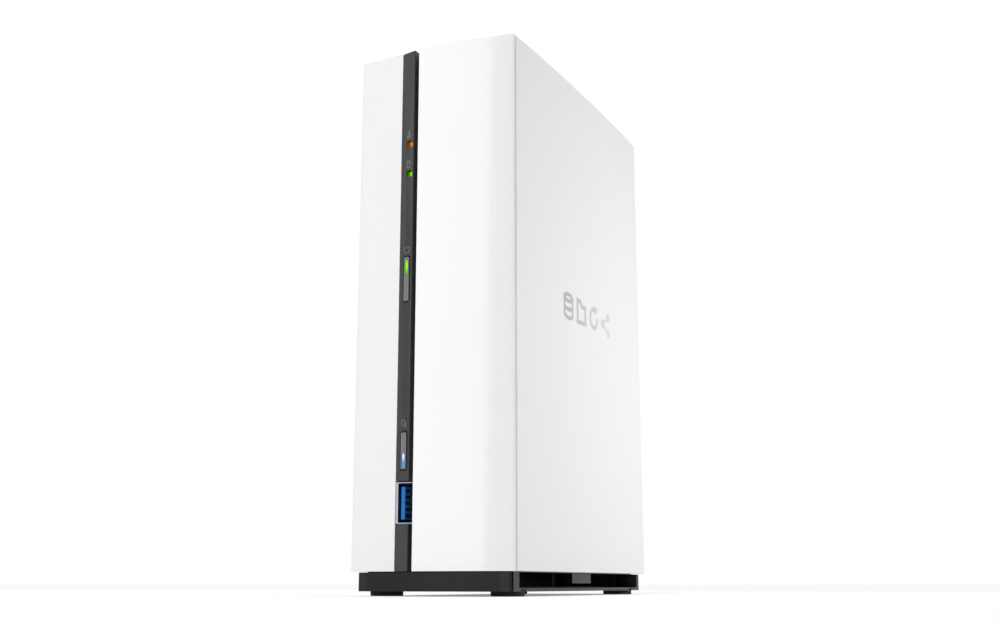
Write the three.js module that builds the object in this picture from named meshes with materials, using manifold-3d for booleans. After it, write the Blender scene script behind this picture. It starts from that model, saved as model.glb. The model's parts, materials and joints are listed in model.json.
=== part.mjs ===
// One-bay network attached storage, standing upright on four round feet.
// Units are millimetres. +Z is up and the front faces -Y.
// The origin is the centre of the footprint on the floor.
// A two-wing front with a dark control strip, a sliding U-shaped cover, a black vented base and
// a rear panel enclose a chassis that carries the hard drive, the main board and the fan.
import * as THREE from "three";
import { mergeVertices } from "three/addons/utils/BufferGeometryUtils.js";
import Module from "manifold-3d";

const wasm = await Module();
wasm.setup();

// ---------------------------------------------------------------- driving dimensions

const WIDTH = 60;
const DEPTH = 125;
const HEIGHT = 187.7;
const HALF_WIDTH = WIDTH / 2;
const HALF_DEPTH = DEPTH / 2;

const FRONT_BULGE = 3.5; // how far the front stands proud of its two corners
const CROWN = 1.3; // how much lower the top is at its front and rear ends than in the middle
const CORNER_Y = -HALF_DEPTH + FRONT_BULGE;
const GAP = 0.3; // running gap between neighbouring pieces
const FOOT_HEIGHT = 1.5;
const SHELL_BOTTOM = 7.8; // lower edge of the white shell
const WALL = 2.2;
const COVER_INSIDE = HALF_WIDTH - WALL;

const SEAM_Y = CORNER_Y + 0.9; // rear edge of the front wings
const COVER_FRONT_Y = SEAM_Y + GAP;

// Control strip: a facet in plan, between the two wings, with a groove along its right side.
const LEFT_WING_X = -12.5;
const RIGHT_WING_X = -5.1;
const STRIP_LEFT = { x: -12.2, y: CORNER_Y - 1.65 };
const STRIP_RIGHT = { x: -7.05, y: CORNER_Y - 2.89 };
const STRIP_EDGE_X = -6.95;
const STRIP_AXIS_X = -9.3; // centre line of the buttons
const LIGHT_AXIS_X = -8.95; // centre line of the two status lights
const STRIP_PLATE_BACK_Y = SEAM_Y + 0.9;

// Heights of what the strip carries.
const LAN_LIGHT_Z = 152.4;
const DRIVE_LIGHT_Z = 141.6;
const POWER_BUTTON_Z = 104.3;
const COPY_BUTTON_Z = 46.4;
const FRONT_USB_Z = 29.6;
const BUTTON_TRAVEL = 0.5;

// Main board, standing between the drive and the left wall, parts facing -X.
const BOARD_THICKNESS = 1.6;
const BOARD_LEFT_X = -5.5;
const BOARD_RIGHT_X = BOARD_LEFT_X + BOARD_THICKNESS;
const BOARD_FRONT_Y = -50;
const BOARD_BOTTOM_Z = 14;
const PART_FACE_X = BOARD_LEFT_X - 0.1; // parts stand this close to the board

// Rear panel and what comes out of it.
const REAR_INNER_Y = 59.4;
const REAR_OUTER_Y = 61.2;
const FAN_Z = 145;
const LAN_JACK_Z = 46;
const REAR_USB_Z = 68;
const POWER_JACK_Z = 24;
const RESET_Z = 82;
const LOCK_SLOT_Z = 94;

// Chassis, tray and a 3.5-inch drive standing on its connector end.
const SHEET = 0.8;
const CHASSIS_X = -1.3;
const CHASSIS_FLOOR_Z = 11.3;
const DRIVE = { x: 0.95, y: -54.4, z: 24, thick: 26.1, wide: 101.6, tall: 147 };

const FOOT = { x: 22.2, frontY: CORNER_Y + 10.5, radius: 5.45 };
const THUMBSCREW_Z = 179.2;

// ---------------------------------------------------------------- materials

const material = (color, roughness, metalness = 0) =>
  new THREE.MeshStandardMaterial({ color, roughness, metalness });

const GLOSS_WHITE = material(0xf4f4f2, 0.12);
const SATIN_WHITE = material(0xe9e9e7, 0.35);
const SATIN_BLACK = material(0x2b2a2b, 0.42);
const DEEP_BLACK = material(0x151515, 0.5);
const RUBBER = material(0x161616, 0.9);
const SMOKED_GREY = material(0x85868a, 0.3);
const AMBER = material(0xff9a1f, 0.25);
const GREEN = material(0x7dff1e, 0.25);
const BLUE = material(0x3f8cff, 0.25);
const USB_BLUE = material(0x1d63c8, 0.4);
const STEEL = material(0xb9bbbd, 0.35, 1);
const ALUMINIUM = material(0xa8aaad, 0.45, 1);
const CIRCUIT_GREEN = material(0x1c5b3a, 0.5);
const CHIP_BLACK = material(0x1b1b1d, 0.55);
const CONNECTOR_IVORY = material(0xe6dfcc, 0.6);
const GRILLE_BLACK = material(0x232324, 0.6);

// ---------------------------------------------------------------- solids

// A closed three.js geometry as a manifold solid.
function solid(geometry) {
  const source = geometry.index ? geometry.toNonIndexed() : geometry;
  const bare = new THREE.BufferGeometry();
  bare.setAttribute("position", source.getAttribute("position"));
  const merged = mergeVertices(bare, 1e-4);
  return new wasm.Manifold(
    new wasm.Mesh({
      numProp: 3,
      vertProperties: merged.attributes.position.array,
      triVerts: new Uint32Array(merged.index.array),
    }),
  );
}

const joined = (...solids) => solids.reduce((sum, next) => sum.add(next));
const cut = (body, ...tools) => tools.reduce((rest, tool) => rest.subtract(tool), body);

function geometryOf(manifold) {
  const mesh = manifold.getMesh();
  const geometry = new THREE.BufferGeometry();
  geometry.setAttribute("position", new THREE.BufferAttribute(mesh.vertProperties, 3));
  geometry.setIndex(new THREE.BufferAttribute(mesh.triVerts, 1));
  geometry.computeVertexNormals();
  return geometry;
}

// A block between two opposite corners.
function block(x0, x1, y0, y1, z0, z1) {
  const geometry = new THREE.BoxGeometry(x1 - x0, y1 - y0, z1 - z0);
  geometry.translate((x0 + x1) / 2, (y0 + y1) / 2, (z0 + z1) / 2);
  return solid(geometry);
}

function outline(points) {
  return new THREE.Shape(points.map(([u, v]) => new THREE.Vector2(u, v)));
}

function extruded(shape, length, curveSegments = 6) {
  return new THREE.ExtrudeGeometry(shape, { depth: length, bevelEnabled: false, curveSegments });
}

// A plan outline in (x, y), raised from z0 to z1.
function prismZ(shape, z0, z1) {
  const geometry = extruded(shape, z1 - z0);
  geometry.translate(0, 0, z0);
  return solid(geometry);
}

// A side outline in (y, z), drawn out from x0 to x1.
function prismX(shape, x0, x1) {
  const geometry = extruded(shape, x1 - x0);
  const toSide = new THREE.Matrix4().makeBasis(
    new THREE.Vector3(0, 1, 0),
    new THREE.Vector3(0, 0, 1),
    new THREE.Vector3(1, 0, 0),
  );
  geometry.applyMatrix4(toSide);
  geometry.translate(x0, 0, 0);
  return solid(geometry);
}

// A front outline in (x, z), drawn back from y0 to y1.
function prismY(shape, y0, y1) {
  const geometry = extruded(shape, y1 - y0);
  geometry.rotateX(Math.PI / 2);
  geometry.translate(0, y1, 0);
  return solid(geometry);
}

// A round bar along Y.
function barY(x, z, radius, y0, y1, sides = 20) {
  const geometry = new THREE.CylinderGeometry(radius, radius, y1 - y0, sides);
  geometry.translate(x, (y0 + y1) / 2, z);
  return solid(geometry);
}

// A round bar along Z.
function barZ(x, y, radius, z0, z1, sides = 24) {
  const geometry = new THREE.CylinderGeometry(radius, radius, z1 - z0, sides);
  geometry.rotateX(Math.PI / 2);
  geometry.translate(x, y, (z0 + z1) / 2);
  return solid(geometry);
}

// A round bar along X.
function barX(y, z, radius, x0, x1, sides = 20) {
  const geometry = new THREE.CylinderGeometry(radius, radius, x1 - x0, sides);
  geometry.rotateZ(Math.PI / 2);
  geometry.translate((x0 + x1) / 2, y, z);
  return solid(geometry);
}

function roundedRectangle(u, v, width, height, radius) {
  const shape = new THREE.Shape();
  const left = u - width / 2;
  const bottom = v - height / 2;
  const right = u + width / 2;
  const top = v + height / 2;
  shape.moveTo(left + radius, bottom);
  shape.lineTo(right - radius, bottom);
  shape.absarc(right - radius, bottom + radius, radius, -Math.PI / 2, 0);
  shape.lineTo(right, top - radius);
  shape.absarc(right - radius, top - radius, radius, 0, Math.PI / 2);
  shape.lineTo(left + radius, top);
  shape.absarc(left + radius, top - radius, radius, Math.PI / 2, Math.PI);
  shape.lineTo(left, bottom + radius);
  shape.absarc(left + radius, bottom + radius, radius, Math.PI, 1.5 * Math.PI);
  return shape;
}

// ---------------------------------------------------------------- the outer form

// Height of the arched top at a depth y.
const topHeight = (y) => HEIGHT - CROWN * (y / HALF_DEPTH) ** 2;

// Side outline of everything between two depths, from a flat bottom up to the arched top less an inset.
function archedSide(y0, y1, bottom, inset, steps = 16) {
  const points = [
    [y0, bottom],
    [y1, bottom],
  ];
  for (let i = 0; i <= steps; i += 1) {
    const y = y1 + ((y0 - y1) * i) / steps;
    points.push([y, topHeight(y) - inset]);
  }
  return outline(points);
}

// Plan points of the right wing's front, from its inner edge to its outer corner.
function rightWingFront(setBack = 0) {
  const curve = new THREE.QuadraticBezierCurve(
    new THREE.Vector2(RIGHT_WING_X, -HALF_DEPTH + setBack),
    new THREE.Vector2(10, -HALF_DEPTH + setBack),
    new THREE.Vector2(HALF_WIDTH - 0.6, CORNER_Y - 0.25 + setBack),
  );
  return curve.getPoints(10).map((p) => [p.x, p.y]);
}

// Plan points of the left wing's front, from its outer corner to its inner edge.
function leftWingFront(setBack = 0) {
  const curve = new THREE.QuadraticBezierCurve(
    new THREE.Vector2(-HALF_WIDTH + 0.6, CORNER_Y - 0.15 + setBack),
    new THREE.Vector2(-21, CORNER_Y - 1.1 + setBack),
    new THREE.Vector2(LEFT_WING_X, CORNER_Y - 1.75 + setBack),
  );
  return curve.getPoints(4).map((p) => [p.x, p.y]);
}

// Height of the strip's facet in plan.
function stripY(x) {
  const share = (x - STRIP_LEFT.x) / (STRIP_RIGHT.x - STRIP_LEFT.x);
  return STRIP_LEFT.y + share * (STRIP_RIGHT.y - STRIP_LEFT.y);
}

// A wing is a curved front wall with a top, a bottom and an outer return, so it is hollow behind.
function wing(front, back, outerCorner) {
  const full = outline([...front, ...outerCorner, ...back]);
  const bodyShape = prismX(archedSide(-HALF_DEPTH - 1, SEAM_Y, SHELL_BOTTOM, 0, 4), -40, 40);
  return prismZ(full, SHELL_BOTTOM, HEIGHT + 1).intersect(bodyShape);
}

function wingHollow(points) {
  const shape = prismX(archedSide(-HALF_DEPTH - 1, SEAM_Y + 1, SHELL_BOTTOM + 1.8, 1.8, 4), -40, 40);
  return prismZ(outline(points), SHELL_BOTTOM + 1.8, HEIGHT).intersect(shape);
}

// Hooks on the back of a wing, which snap through slots in the front frame.
const HOOK_HEIGHTS = [30, 95, 160];
const HOOK = { wide: 5, tall: 6 };
const RIGHT_HOOK_X = 14;
const LEFT_HOOK_X = -20.5;

function hooks(x, fromY) {
  return HOOK_HEIGHTS.map((z) =>
    block(x - HOOK.wide / 2, x + HOOK.wide / 2, fromY, SEAM_Y + 1.6, z - HOOK.tall / 2, z + HOOK.tall / 2),
  );
}

function wingRight() {
  const corner = [
    [HALF_WIDTH, CORNER_Y + 0.35],
    [HALF_WIDTH, SEAM_Y],
  ];
  const body = wing(rightWingFront(), [[RIGHT_WING_X, SEAM_Y]], corner);
  const inside = rightWingFront(1.8).filter(([x, y]) => x > -3 && y < SEAM_Y - 0.2);
  const hollow = wingHollow([[-3.2, -HALF_DEPTH + 1.8], ...inside, [25, SEAM_Y + 1], [-3.2, SEAM_Y + 1]]);
  return joined(cut(body, hollow), ...hooks(RIGHT_HOOK_X, SEAM_Y - 3));
}

function wingLeft() {
  const corner = [
    [LEFT_WING_X, SEAM_Y],
    [-HALF_WIDTH, SEAM_Y],
    [-HALF_WIDTH, CORNER_Y + 0.35],
  ];
  const body = wing(leftWingFront(), [], corner);
  const hollow = wingHollow([
    [-26, SEAM_Y - 0.5],
    [-14.2, SEAM_Y - 0.9],
    [-14.2, SEAM_Y + 1],
    [-26, SEAM_Y + 1],
  ]);
  return joined(cut(body, hollow), ...hooks(LEFT_HOOK_X, SEAM_Y - 1.5));
}

// The cover: left wall, right wall and arched top in one piece, open at the front, rear and bottom.
const LIP = { inner: 25.3, top: SHELL_BOTTOM + 1.4 };
const TAB = { halfWidth: 5, bottom: 174.8, y0: 57.5, y1: 59 };

function outerCover() {
  const outside = prismX(archedSide(COVER_FRONT_Y, HALF_DEPTH, SHELL_BOTTOM, 0), -HALF_WIDTH, HALF_WIDTH);
  const inside = prismX(
    archedSide(COVER_FRONT_Y - 1, HALF_DEPTH + 1, SHELL_BOTTOM - 1, WALL),
    -COVER_INSIDE,
    COVER_INSIDE,
  );
  const lips = [-1, 1].map((side) => {
    const x = [side * LIP.inner, side * (COVER_INSIDE + 0.5)].sort((a, b) => a - b);
    return block(x[0], x[1], COVER_FRONT_Y + 4, HALF_DEPTH - 4, SHELL_BOTTOM, LIP.top);
  });
  const tab = block(-TAB.halfWidth, TAB.halfWidth, TAB.y0, TAB.y1, TAB.bottom, HEIGHT - WALL);
  const body = joined(cut(outside, inside), ...lips, tab);
  return cut(body, barY(0, THUMBSCREW_Z, 1.85, TAB.y0 - 1, TAB.y1 + 1));
}

// ---------------------------------------------------------------- the control strip and its parts

const USB = { wide: 6.3, tall: 13.4, mouthY: CORNER_Y - 1.5, backY: -44, wall: 0.35 };
const LIGHT_WINDOW = { wide: 2.6, tall: 2.3 };
const POWER_CAP = { wide: 2.15, tall: 15.2 };
const COPY_CAP = { wide: 2.15, tall: 12 };
const CAP_GAP = 0.42; // running gap round a button
const CAP_PROUD = 0.3; // how far a button stands proud of the strip
const FRAME_BACK_Y = SEAM_Y + 1.5;
const STEM_END_Y = -55.4; // rear end of a button's stem
const STRIP_INSIDE = { z0: 12, z1: 180.6 }; // the strip's part behind the wings

function frontStrip() {
  const bar = prismZ(
    outline([
      [STRIP_LEFT.x, STRIP_LEFT.y],
      [STRIP_RIGHT.x, STRIP_RIGHT.y],
      [STRIP_EDGE_X, STRIP_RIGHT.y + 0.35],
      [STRIP_EDGE_X, SEAM_Y],
      [STRIP_LEFT.x, SEAM_Y],
    ]),
    SHELL_BOTTOM,
    topHeight(CORNER_Y - 2),
  );
  const { z0, z1 } = STRIP_INSIDE;
  const plate = block(-14, -3.4, SEAM_Y + 0.25, STRIP_PLATE_BACK_Y, z0, z1);
  const web = block(STRIP_LEFT.x, STRIP_EDGE_X, SEAM_Y - 0.5, STRIP_PLATE_BACK_Y, z0, z1);
  const usbBottom = FRONT_USB_Z - USB.tall / 2 - GAP;
  const usbTop = FRONT_USB_Z + USB.tall / 2 + GAP;
  const usbWindow = block(LEFT_WING_X, RIGHT_WING_X, -70, -50, usbBottom, usbTop);
  const lights = [LAN_LIGHT_Z, DRIVE_LIGHT_Z].map((z) =>
    block(
      LIGHT_AXIS_X - LIGHT_WINDOW.wide / 2,
      LIGHT_AXIS_X + LIGHT_WINDOW.wide / 2,
      -70,
      -50,
      z - LIGHT_WINDOW.tall / 2,
      z + LIGHT_WINDOW.tall / 2,
    ),
  );
  const buttons = [
    [POWER_BUTTON_Z, POWER_CAP],
    [COPY_BUTTON_Z, COPY_CAP],
  ].map(([z, cap]) =>
    prismY(roundedRectangle(STRIP_AXIS_X, z, cap.wide + 2 * CAP_GAP, cap.tall + 2 * CAP_GAP, 0.6), -70, -50),
  );
  return cut(joined(bar, plate, web), usbWindow, ...lights, ...buttons);
}

// A light pipe from the board's edge to just below the strip's face.
function lightPipe(z) {
  const wide = LIGHT_WINDOW.wide - 0.4;
  const tall = LIGHT_WINDOW.tall - 0.4;
  const head = block(
    LIGHT_AXIS_X - wide / 2,
    LIGHT_AXIS_X + wide / 2,
    stripY(LIGHT_AXIS_X) + 0.9,
    -53,
    z - tall / 2,
    z + tall / 2,
  );
  const collar = block(
    LIGHT_AXIS_X - 2,
    LIGHT_AXIS_X + 2,
    STRIP_PLATE_BACK_Y + 0.2,
    STEM_END_Y,
    z - 2.2,
    z + 2.2,
  );
  return joined(head, collar);
}

const LENS = { wide: 0.9, depth: 1.9 };
const SWITCH = { frontY: -52.4, rearY: -48.6, half: 3.1 };

// Everything behind the strip's facet, moved back by a distance.
function behindFacet(setBack) {
  const [left, right] = [LEFT_WING_X, RIGHT_WING_X];
  const plan = outline([
    [left, stripY(left) + setBack],
    [right, stripY(right) + setBack],
    [right, STEM_END_Y],
    [left, STEM_END_Y],
  ]);
  return prismZ(plan, SHELL_BOTTOM, HEIGHT);
}

// A button cap: its face runs along the strip's facet, and a flange behind the strip keeps it in.
function buttonCap(z, cap, lensZ, lensTall) {
  const front = prismY(
    roundedRectangle(STRIP_AXIS_X, z, cap.wide, cap.tall, 0.45),
    -70,
    STRIP_PLATE_BACK_Y + 0.6,
  );
  const face = front.intersect(behindFacet(-CAP_PROUD));
  const flange = block(
    STRIP_AXIS_X - 2.4,
    STRIP_AXIS_X + 2.4,
    STRIP_PLATE_BACK_Y + GAP,
    STRIP_PLATE_BACK_Y + 1.1,
    z - cap.tall / 2 - 1.2,
    z + cap.tall / 2 + 1.2,
  );
  const stem = block(STRIP_AXIS_X - 1.2, STRIP_AXIS_X + 1.2, FRAME_BACK_Y, STEM_END_Y, z - 1.2, z + 1.2);
  const lensSeat = prismY(
    roundedRectangle(STRIP_AXIS_X, lensZ, LENS.wide + 0.2, lensTall + 0.2, 0.5),
    -70,
    stripY(STRIP_AXIS_X) - CAP_PROUD + LENS.depth + 0.2,
  );
  return cut(joined(face, flange, stem), lensSeat);
}

function buttonLens(lensZ, lensTall) {
  const y = stripY(STRIP_AXIS_X) - CAP_PROUD;
  const shape = roundedRectangle(STRIP_AXIS_X, lensZ, LENS.wide, lensTall, 0.4);
  return prismY(shape, y - 1, y + LENS.depth).intersect(behindFacet(0.08 - CAP_PROUD));
}

// A side-push tactile switch on the board's front edge, and its plunger.
const switchBody = (z) =>
  block(-11.8, PART_FACE_X, SWITCH.frontY, SWITCH.rearY, z - SWITCH.half, z + SWITCH.half);
const switchPlunger = (z) =>
  barY(STRIP_AXIS_X, z, 1.4, STEM_END_Y + 0.2, SWITCH.frontY - BUTTON_TRAVEL - GAP, 12);

// A type A socket lying on the board: a steel shell, and a tongue in a rear block.
function usbShell(centreZ, mouthY, backY) {
  const right = PART_FACE_X;
  const left = right - USB.wide;
  const z0 = centreZ - USB.tall / 2;
  const z1 = centreZ + USB.tall / 2;
  const y0 = Math.min(mouthY, backY);
  const y1 = Math.max(mouthY, backY);
  const t = USB.wall;
  const inside = block(left + t, right - t, y0 - 1, y1 + 1, z0 + t, z1 - t);
  return cut(block(left, right, y0, y1, z0, z1), inside);
}

function usbTongue(centreZ, mouthY, backY) {
  const inward = Math.sign(backY - mouthY);
  const span = (a, b) => [Math.min(a, b), Math.max(a, b)];
  const left = PART_FACE_X - USB.wide + USB.wall + 0.1;
  const right = PART_FACE_X - USB.wall - 0.1;
  const halfTall = USB.tall / 2 - USB.wall - 0.1;
  const [t0, t1] = span(mouthY + inward * 0.9, backY - inward * 5);
  const [b0, b1] = span(backY - inward * 6, backY - inward * 0.2);
  const tongue = block(left + 0.5, left + 1.95, t0, t1, centreZ - 5.3, centreZ + 5.3);
  const rear = block(left, right, b0, b1, centreZ - halfTall, centreZ + halfTall);
  const slots = [-4, -2, 0, 2, 4].map((dz) =>
    block(left + 1.35, left + 3, t0 + 0.5 * (inward > 0), t1, centreZ + dz - 0.55, centreZ + dz + 0.55),
  );
  return cut(joined(tongue, rear), ...slots.map((s) => s.subtract(rear)));
}

// The inner frame of the front: a plate inside the cover's mouth, with a window for the strip's parts.
function frontFrame() {
  const side = archedSide(SEAM_Y + 0.25, FRAME_BACK_Y, SHELL_BOTTOM + 0.6, WALL + GAP, 2);
  const plate = prismX(side, -27.5, 27.5);
  const window = block(-14.3, -3.1, -70, -50, 11.7, 180.9);
  const slots = [
    ...HOOK_HEIGHTS.map((z) => [RIGHT_HOOK_X, z]),
    ...HOOK_HEIGHTS.map((z) => [LEFT_HOOK_X, z]),
  ].map(([x, z]) => {
    const w = HOOK.wide / 2 + GAP;
    const h = HOOK.tall / 2 + GAP;
    return block(x - w, x + w, -70, -50, z - h, z + h);
  });
  const foot = block(-24, 24, FRAME_BACK_Y - 0.5, FRAME_BACK_Y + 1, SHELL_BOTTOM + 1.9, 11);
  return cut(plate, window, ...slots).subtract(foot);
}

// ---------------------------------------------------------------- the base and its feet

const BASE = { halfWidth: 27.6, frontInset: 0.8, rearY: HALF_DEPTH - 0.6, top: SHELL_BOTTOM - 0.25 };
const NECK = { halfWidth: 25, top: 9.5 };
const COLLAR = { halfWidth: 27.3, top: 11 };
const PLENUM = { halfWidth: 19.8, y0: -52, y1: 56 };
const SIDE_SLOT = { y0: CORNER_Y + 7.6, y1: 59.5, z0: 2.6, inner: PLENUM.halfWidth - 0.5 };
const HANGING_RIB = { y0: 0, y1: 17.8, z0: 4.1, inner: 21, outer: 24.6 };
const CORNER_GROOVE = { y0: CORNER_Y + 1.5, y1: CORNER_Y + 3.2, depth: 1.4 };
const BASE_SCREW_Y = [-46, 50];

// Plan outline of the base, which follows the faceted front inside the shell's edge.
function basePlan(halfWidth, inset, rearY) {
  const y = CORNER_Y + inset;
  const chamfer = 0.5;
  return outline([
    [-halfWidth, rearY],
    [-halfWidth, y + chamfer],
    [-halfWidth + 0.4, y + 0.15],
    [-11.2, y - 1.5],
    [-6.2, y - 2.5],
    [2, y - 2.6],
    [14, y - 1.7],
    [halfWidth - 0.4, y + 0.1],
    [halfWidth, y + chamfer],
    [halfWidth, rearY],
  ]);
}

function base() {
  const tray = prismZ(basePlan(BASE.halfWidth, BASE.frontInset, BASE.rearY), FOOT_HEIGHT, BASE.top);
  const neck = block(-NECK.halfWidth, NECK.halfWidth, -56.2, 60.5, BASE.top - 0.5, NECK.top + 0.2);
  const collar = block(-COLLAR.halfWidth, COLLAR.halfWidth, -56.2, 59, NECK.top, COLLAR.top);
  const plenum = block(-PLENUM.halfWidth, PLENUM.halfWidth, PLENUM.y0, PLENUM.y1, 3, COLLAR.top + 1);
  const sideSlots = [-1, 1].map((side) => {
    const x = [side * SIDE_SLOT.inner, side * 30].sort((a, b) => a - b);
    return block(x[0], x[1], SIDE_SLOT.y0, SIDE_SLOT.y1, SIDE_SLOT.z0, BASE.top + 0.01);
  });
  const cornerGrooves = [-1, 1].map((side) => {
    const x = [side * (BASE.halfWidth - CORNER_GROOVE.depth), side * 30].sort((a, b) => a - b);
    return block(x[0], x[1], CORNER_GROOVE.y0, CORNER_GROOVE.y1, 0, BASE.top + 0.01);
  });
  const ribs = [-1, 1].map((side) => {
    const { y0, y1, z0, inner, outer } = HANGING_RIB;
    const x = [side * inner, side * outer].sort((a, b) => a - b);
    return block(x[0], x[1], y0, y1, z0, BASE.top + 0.5);
  });
  const floorVents = [-30, -18, -6, 6, 18, 30].map((y) => block(-13, 13, y - 1.6, y + 1.6, 0, 4));
  const screwPosts = BASE_SCREW_Y.map((y) => barZ(0, y, 4.2, 2, COLLAR.top, 16));
  const screwHoles = BASE_SCREW_Y.flatMap((y) => [
    barZ(0, y, 1.7, 1, COLLAR.top + 1, 12),
    barZ(0, y, 3.2, 1, 3.6, 16),
  ]);
  const footSeats = feetPlaces().map(([, x, y]) => barZ(x, y, FOOT.radius + 0.25, 1, 2.25, 24));
  const body = cut(joined(tray, neck, collar), plenum, ...sideSlots, ...cornerGrooves);
  return cut(
    joined(body, ...ribs, ...screwPosts),
    ...floorVents,
    ...screwHoles,
    ...footSeats,
  );
}

function feetPlaces() {
  const rearY = BASE.rearY - (FOOT.frontY - CORNER_Y) + 0.6;
  return [
    ["foot_front_left", -FOOT.x, FOOT.frontY],
    ["foot_front_right", FOOT.x, FOOT.frontY],
    ["foot_rear_left", -FOOT.x, rearY],
    ["foot_rear_right", FOOT.x, rearY],
  ];
}

// A rubber foot: a disc with a small chamfer where it meets the floor.
function foot(x, y) {
  const profile = [
    [0, 0],
    [FOOT.radius - 0.3, 0],
    [FOOT.radius, 0.3],
    [FOOT.radius, 2.15],
    [0, 2.15],
  ].map(([r, z]) => new THREE.Vector2(r, z));
  const geometry = new THREE.LatheGeometry(profile, 24);
  geometry.rotateX(Math.PI / 2);
  geometry.translate(x, y, 0);
  return solid(geometry);
}

function baseScrew(y) {
  return joined(barZ(0, y, 2.9, 2.1, 3.5, 16), barZ(0, y, 1.45, 3, 12.6, 12));
}

// ---------------------------------------------------------------- the rear panel

const FAN = { size: 50, depth: 10, bore: 23.4, pitch: 20, y0: 49.2 };
const POCKET = { halfWidth: 6.2, bottom: 173.2, floorY: 57.1, backY: 55.3 };
const LAN_JACK = { wide: 13.5, tall: 16, y0: 40 };
const POWER_JACK = { wide: 11, tall: 9.4, y0: 46.5, bore: 3.15, pin: 1.05 };

function rearPanel() {
  const halfWidth = 27.4;
  const side = (y0, y1, inset) =>
    prismX(archedSide(y0, y1, 11.3, WALL + GAP + inset, 1), -halfWidth + inset, halfWidth - inset);
  const plate = side(REAR_INNER_Y, REAR_OUTER_Y, 0);
  const rimInside = prismX(archedSide(50, 70, 13, WALL + GAP + 1.6, 1), -25.8, 25.8);
  const rim = cut(side(56, REAR_INNER_Y, 0), rimInside);
  const pocketShell = block(
    -POCKET.halfWidth - 1.6,
    POCKET.halfWidth + 1.6,
    POCKET.backY,
    REAR_INNER_Y,
    POCKET.bottom - 1.6,
    183.6,
  );
  const pocket = block(-POCKET.halfWidth, POCKET.halfWidth, POCKET.floorY, 70, POCKET.bottom, 190);
  const screwBore = barY(0, THUMBSCREW_Z, 1.75, 50, 60, 16);
  const skirt = block(-26, 26, REAR_INNER_Y, BASE.rearY - 1, SHELL_BOTTOM + 1.9, 12);
  return cut(
    joined(plate, rim, pocketShell, skirt),
    pocket,
    screwBore,
    ...fanGrille(),
    ...rearOpenings(),
  );
}

// Upright slots that together make a round grille over the fan.
function fanGrille() {
  const slots = [];
  const pitch = 3.6;
  for (let i = -6; i <= 6; i += 1) {
    const half = Math.sqrt(FAN.bore ** 2 - (i * pitch) ** 2) - 0.8;
    const [low, high] = [FAN_Z - half, FAN_Z + half];
    for (const [z0, z1] of [
      [low, FAN_Z - 1],
      [FAN_Z + 1, high],
    ]) {
      slots.push(block(i * pitch - 1.1, i * pitch + 1.1, 55, 65, z0, z1));
    }
  }
  return slots;
}

function fanScrewPlaces() {
  return [
    [-FAN.pitch, FAN_Z - FAN.pitch],
    [FAN.pitch, FAN_Z - FAN.pitch],
    [-FAN.pitch, FAN_Z + FAN.pitch],
    [FAN.pitch, FAN_Z + FAN.pitch],
  ];
}

function rearOpenings() {
  const right = PART_FACE_X + GAP;
  const window = (wide, z, tall) =>
    block(right - wide - 2 * GAP, right, 50, 70, z - tall / 2, z + tall / 2);
  return [
    window(LAN_JACK.wide, LAN_JACK_Z, LAN_JACK.tall + 2 * GAP),
    window(USB.wide, REAR_USB_Z, USB.tall + 2 * GAP),
    window(POWER_JACK.wide, POWER_JACK_Z, POWER_JACK.tall + 2 * GAP),
    barY(STRIP_AXIS_X, RESET_Z, 1, 50, 70, 16),
    prismY(roundedRectangle(STRIP_AXIS_X, LOCK_SLOT_Z, 3.2, 7.2, 0.8), 50, 70),
    ...fanScrewPlaces().map(([x, z]) => barY(x, z, 2, 50, 70, 14)),
  ];
}

function fanScrew(x, z) {
  const head = new THREE.LatheGeometry(
    [
      [0, -1.1],
      [2.6, -0.8],
      [3, -0.3],
      [3, 0],
      [0, 0],
    ].map(([r, h]) => new THREE.Vector2(r, h)),
    16,
  );
  head.rotateX(Math.PI);
  head.translate(x, REAR_OUTER_Y + 0.15, z);
  return joined(solid(head), barY(x, z, 1.6, 51, REAR_OUTER_Y + 0.5, 12));
}

// ---------------------------------------------------------------- the fan

function fanFrame() {
  const half = FAN.size / 2;
  const y1 = FAN.y0 + FAN.depth;
  const frame = prismY(roundedRectangle(0, FAN_Z, FAN.size, FAN.size, 3), FAN.y0, y1);
  const bore = barY(0, FAN_Z, FAN.bore, FAN.y0 - 1, y1 + 1, 40);
  const hub = barY(0, FAN_Z, 10.5, FAN.y0, FAN.y0 + 1.6, 24);
  const spokes = [
    block(-half + 1, half - 1, FAN.y0, FAN.y0 + 1.4, FAN_Z - 1.2, FAN_Z + 1.2),
    block(-1.2, 1.2, FAN.y0, FAN.y0 + 1.4, FAN_Z - half + 1, FAN_Z + half - 1),
  ];
  const holes = fanScrewPlaces().map(([x, z]) => barY(x, z, 1.95, FAN.y0 - 1, y1 + 1, 12));
  return cut(joined(cut(frame, bore), hub, ...spokes), ...holes);
}

function fanRotor() {
  const y0 = FAN.y0 + 2;
  const y1 = FAN.y0 + FAN.depth - 0.4;
  const hub = barY(0, FAN_Z, 10.2, y0, y1, 28);
  const blades = [];
  const count = 7;
  for (let i = 0; i < count; i += 1) {
    const blade = new THREE.BoxGeometry(13.2, 0.9, 9.6);
    blade.rotateX(THREE.MathUtils.degToRad(38));
    blade.translate(15.6, 0, 0);
    blade.rotateY((i / count) * 2 * Math.PI);
    blade.translate(0, (y0 + y1) / 2, FAN_Z);
    blades.push(solid(blade));
  }
  const sweep = barY(0, FAN_Z, FAN.bore - 0.8, y0, y1, 40);
  return joined(hub, ...blades.map((b) => b.intersect(sweep)));
}

// The fan's lead, from the frame's lower corner forward to its header on the board.
const LEAD_ROUTE = [
  [-19, 51, 119.7],
  [-19, 50.8, 117.2],
  [-18.2, 48.6, 113.6],
  [-15.6, 45.4, 110],
  [-11.4, 41.6, 107.2],
  [-8.6, 37.4, 106],
  [-8.4, 34.3, 106],
];

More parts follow.
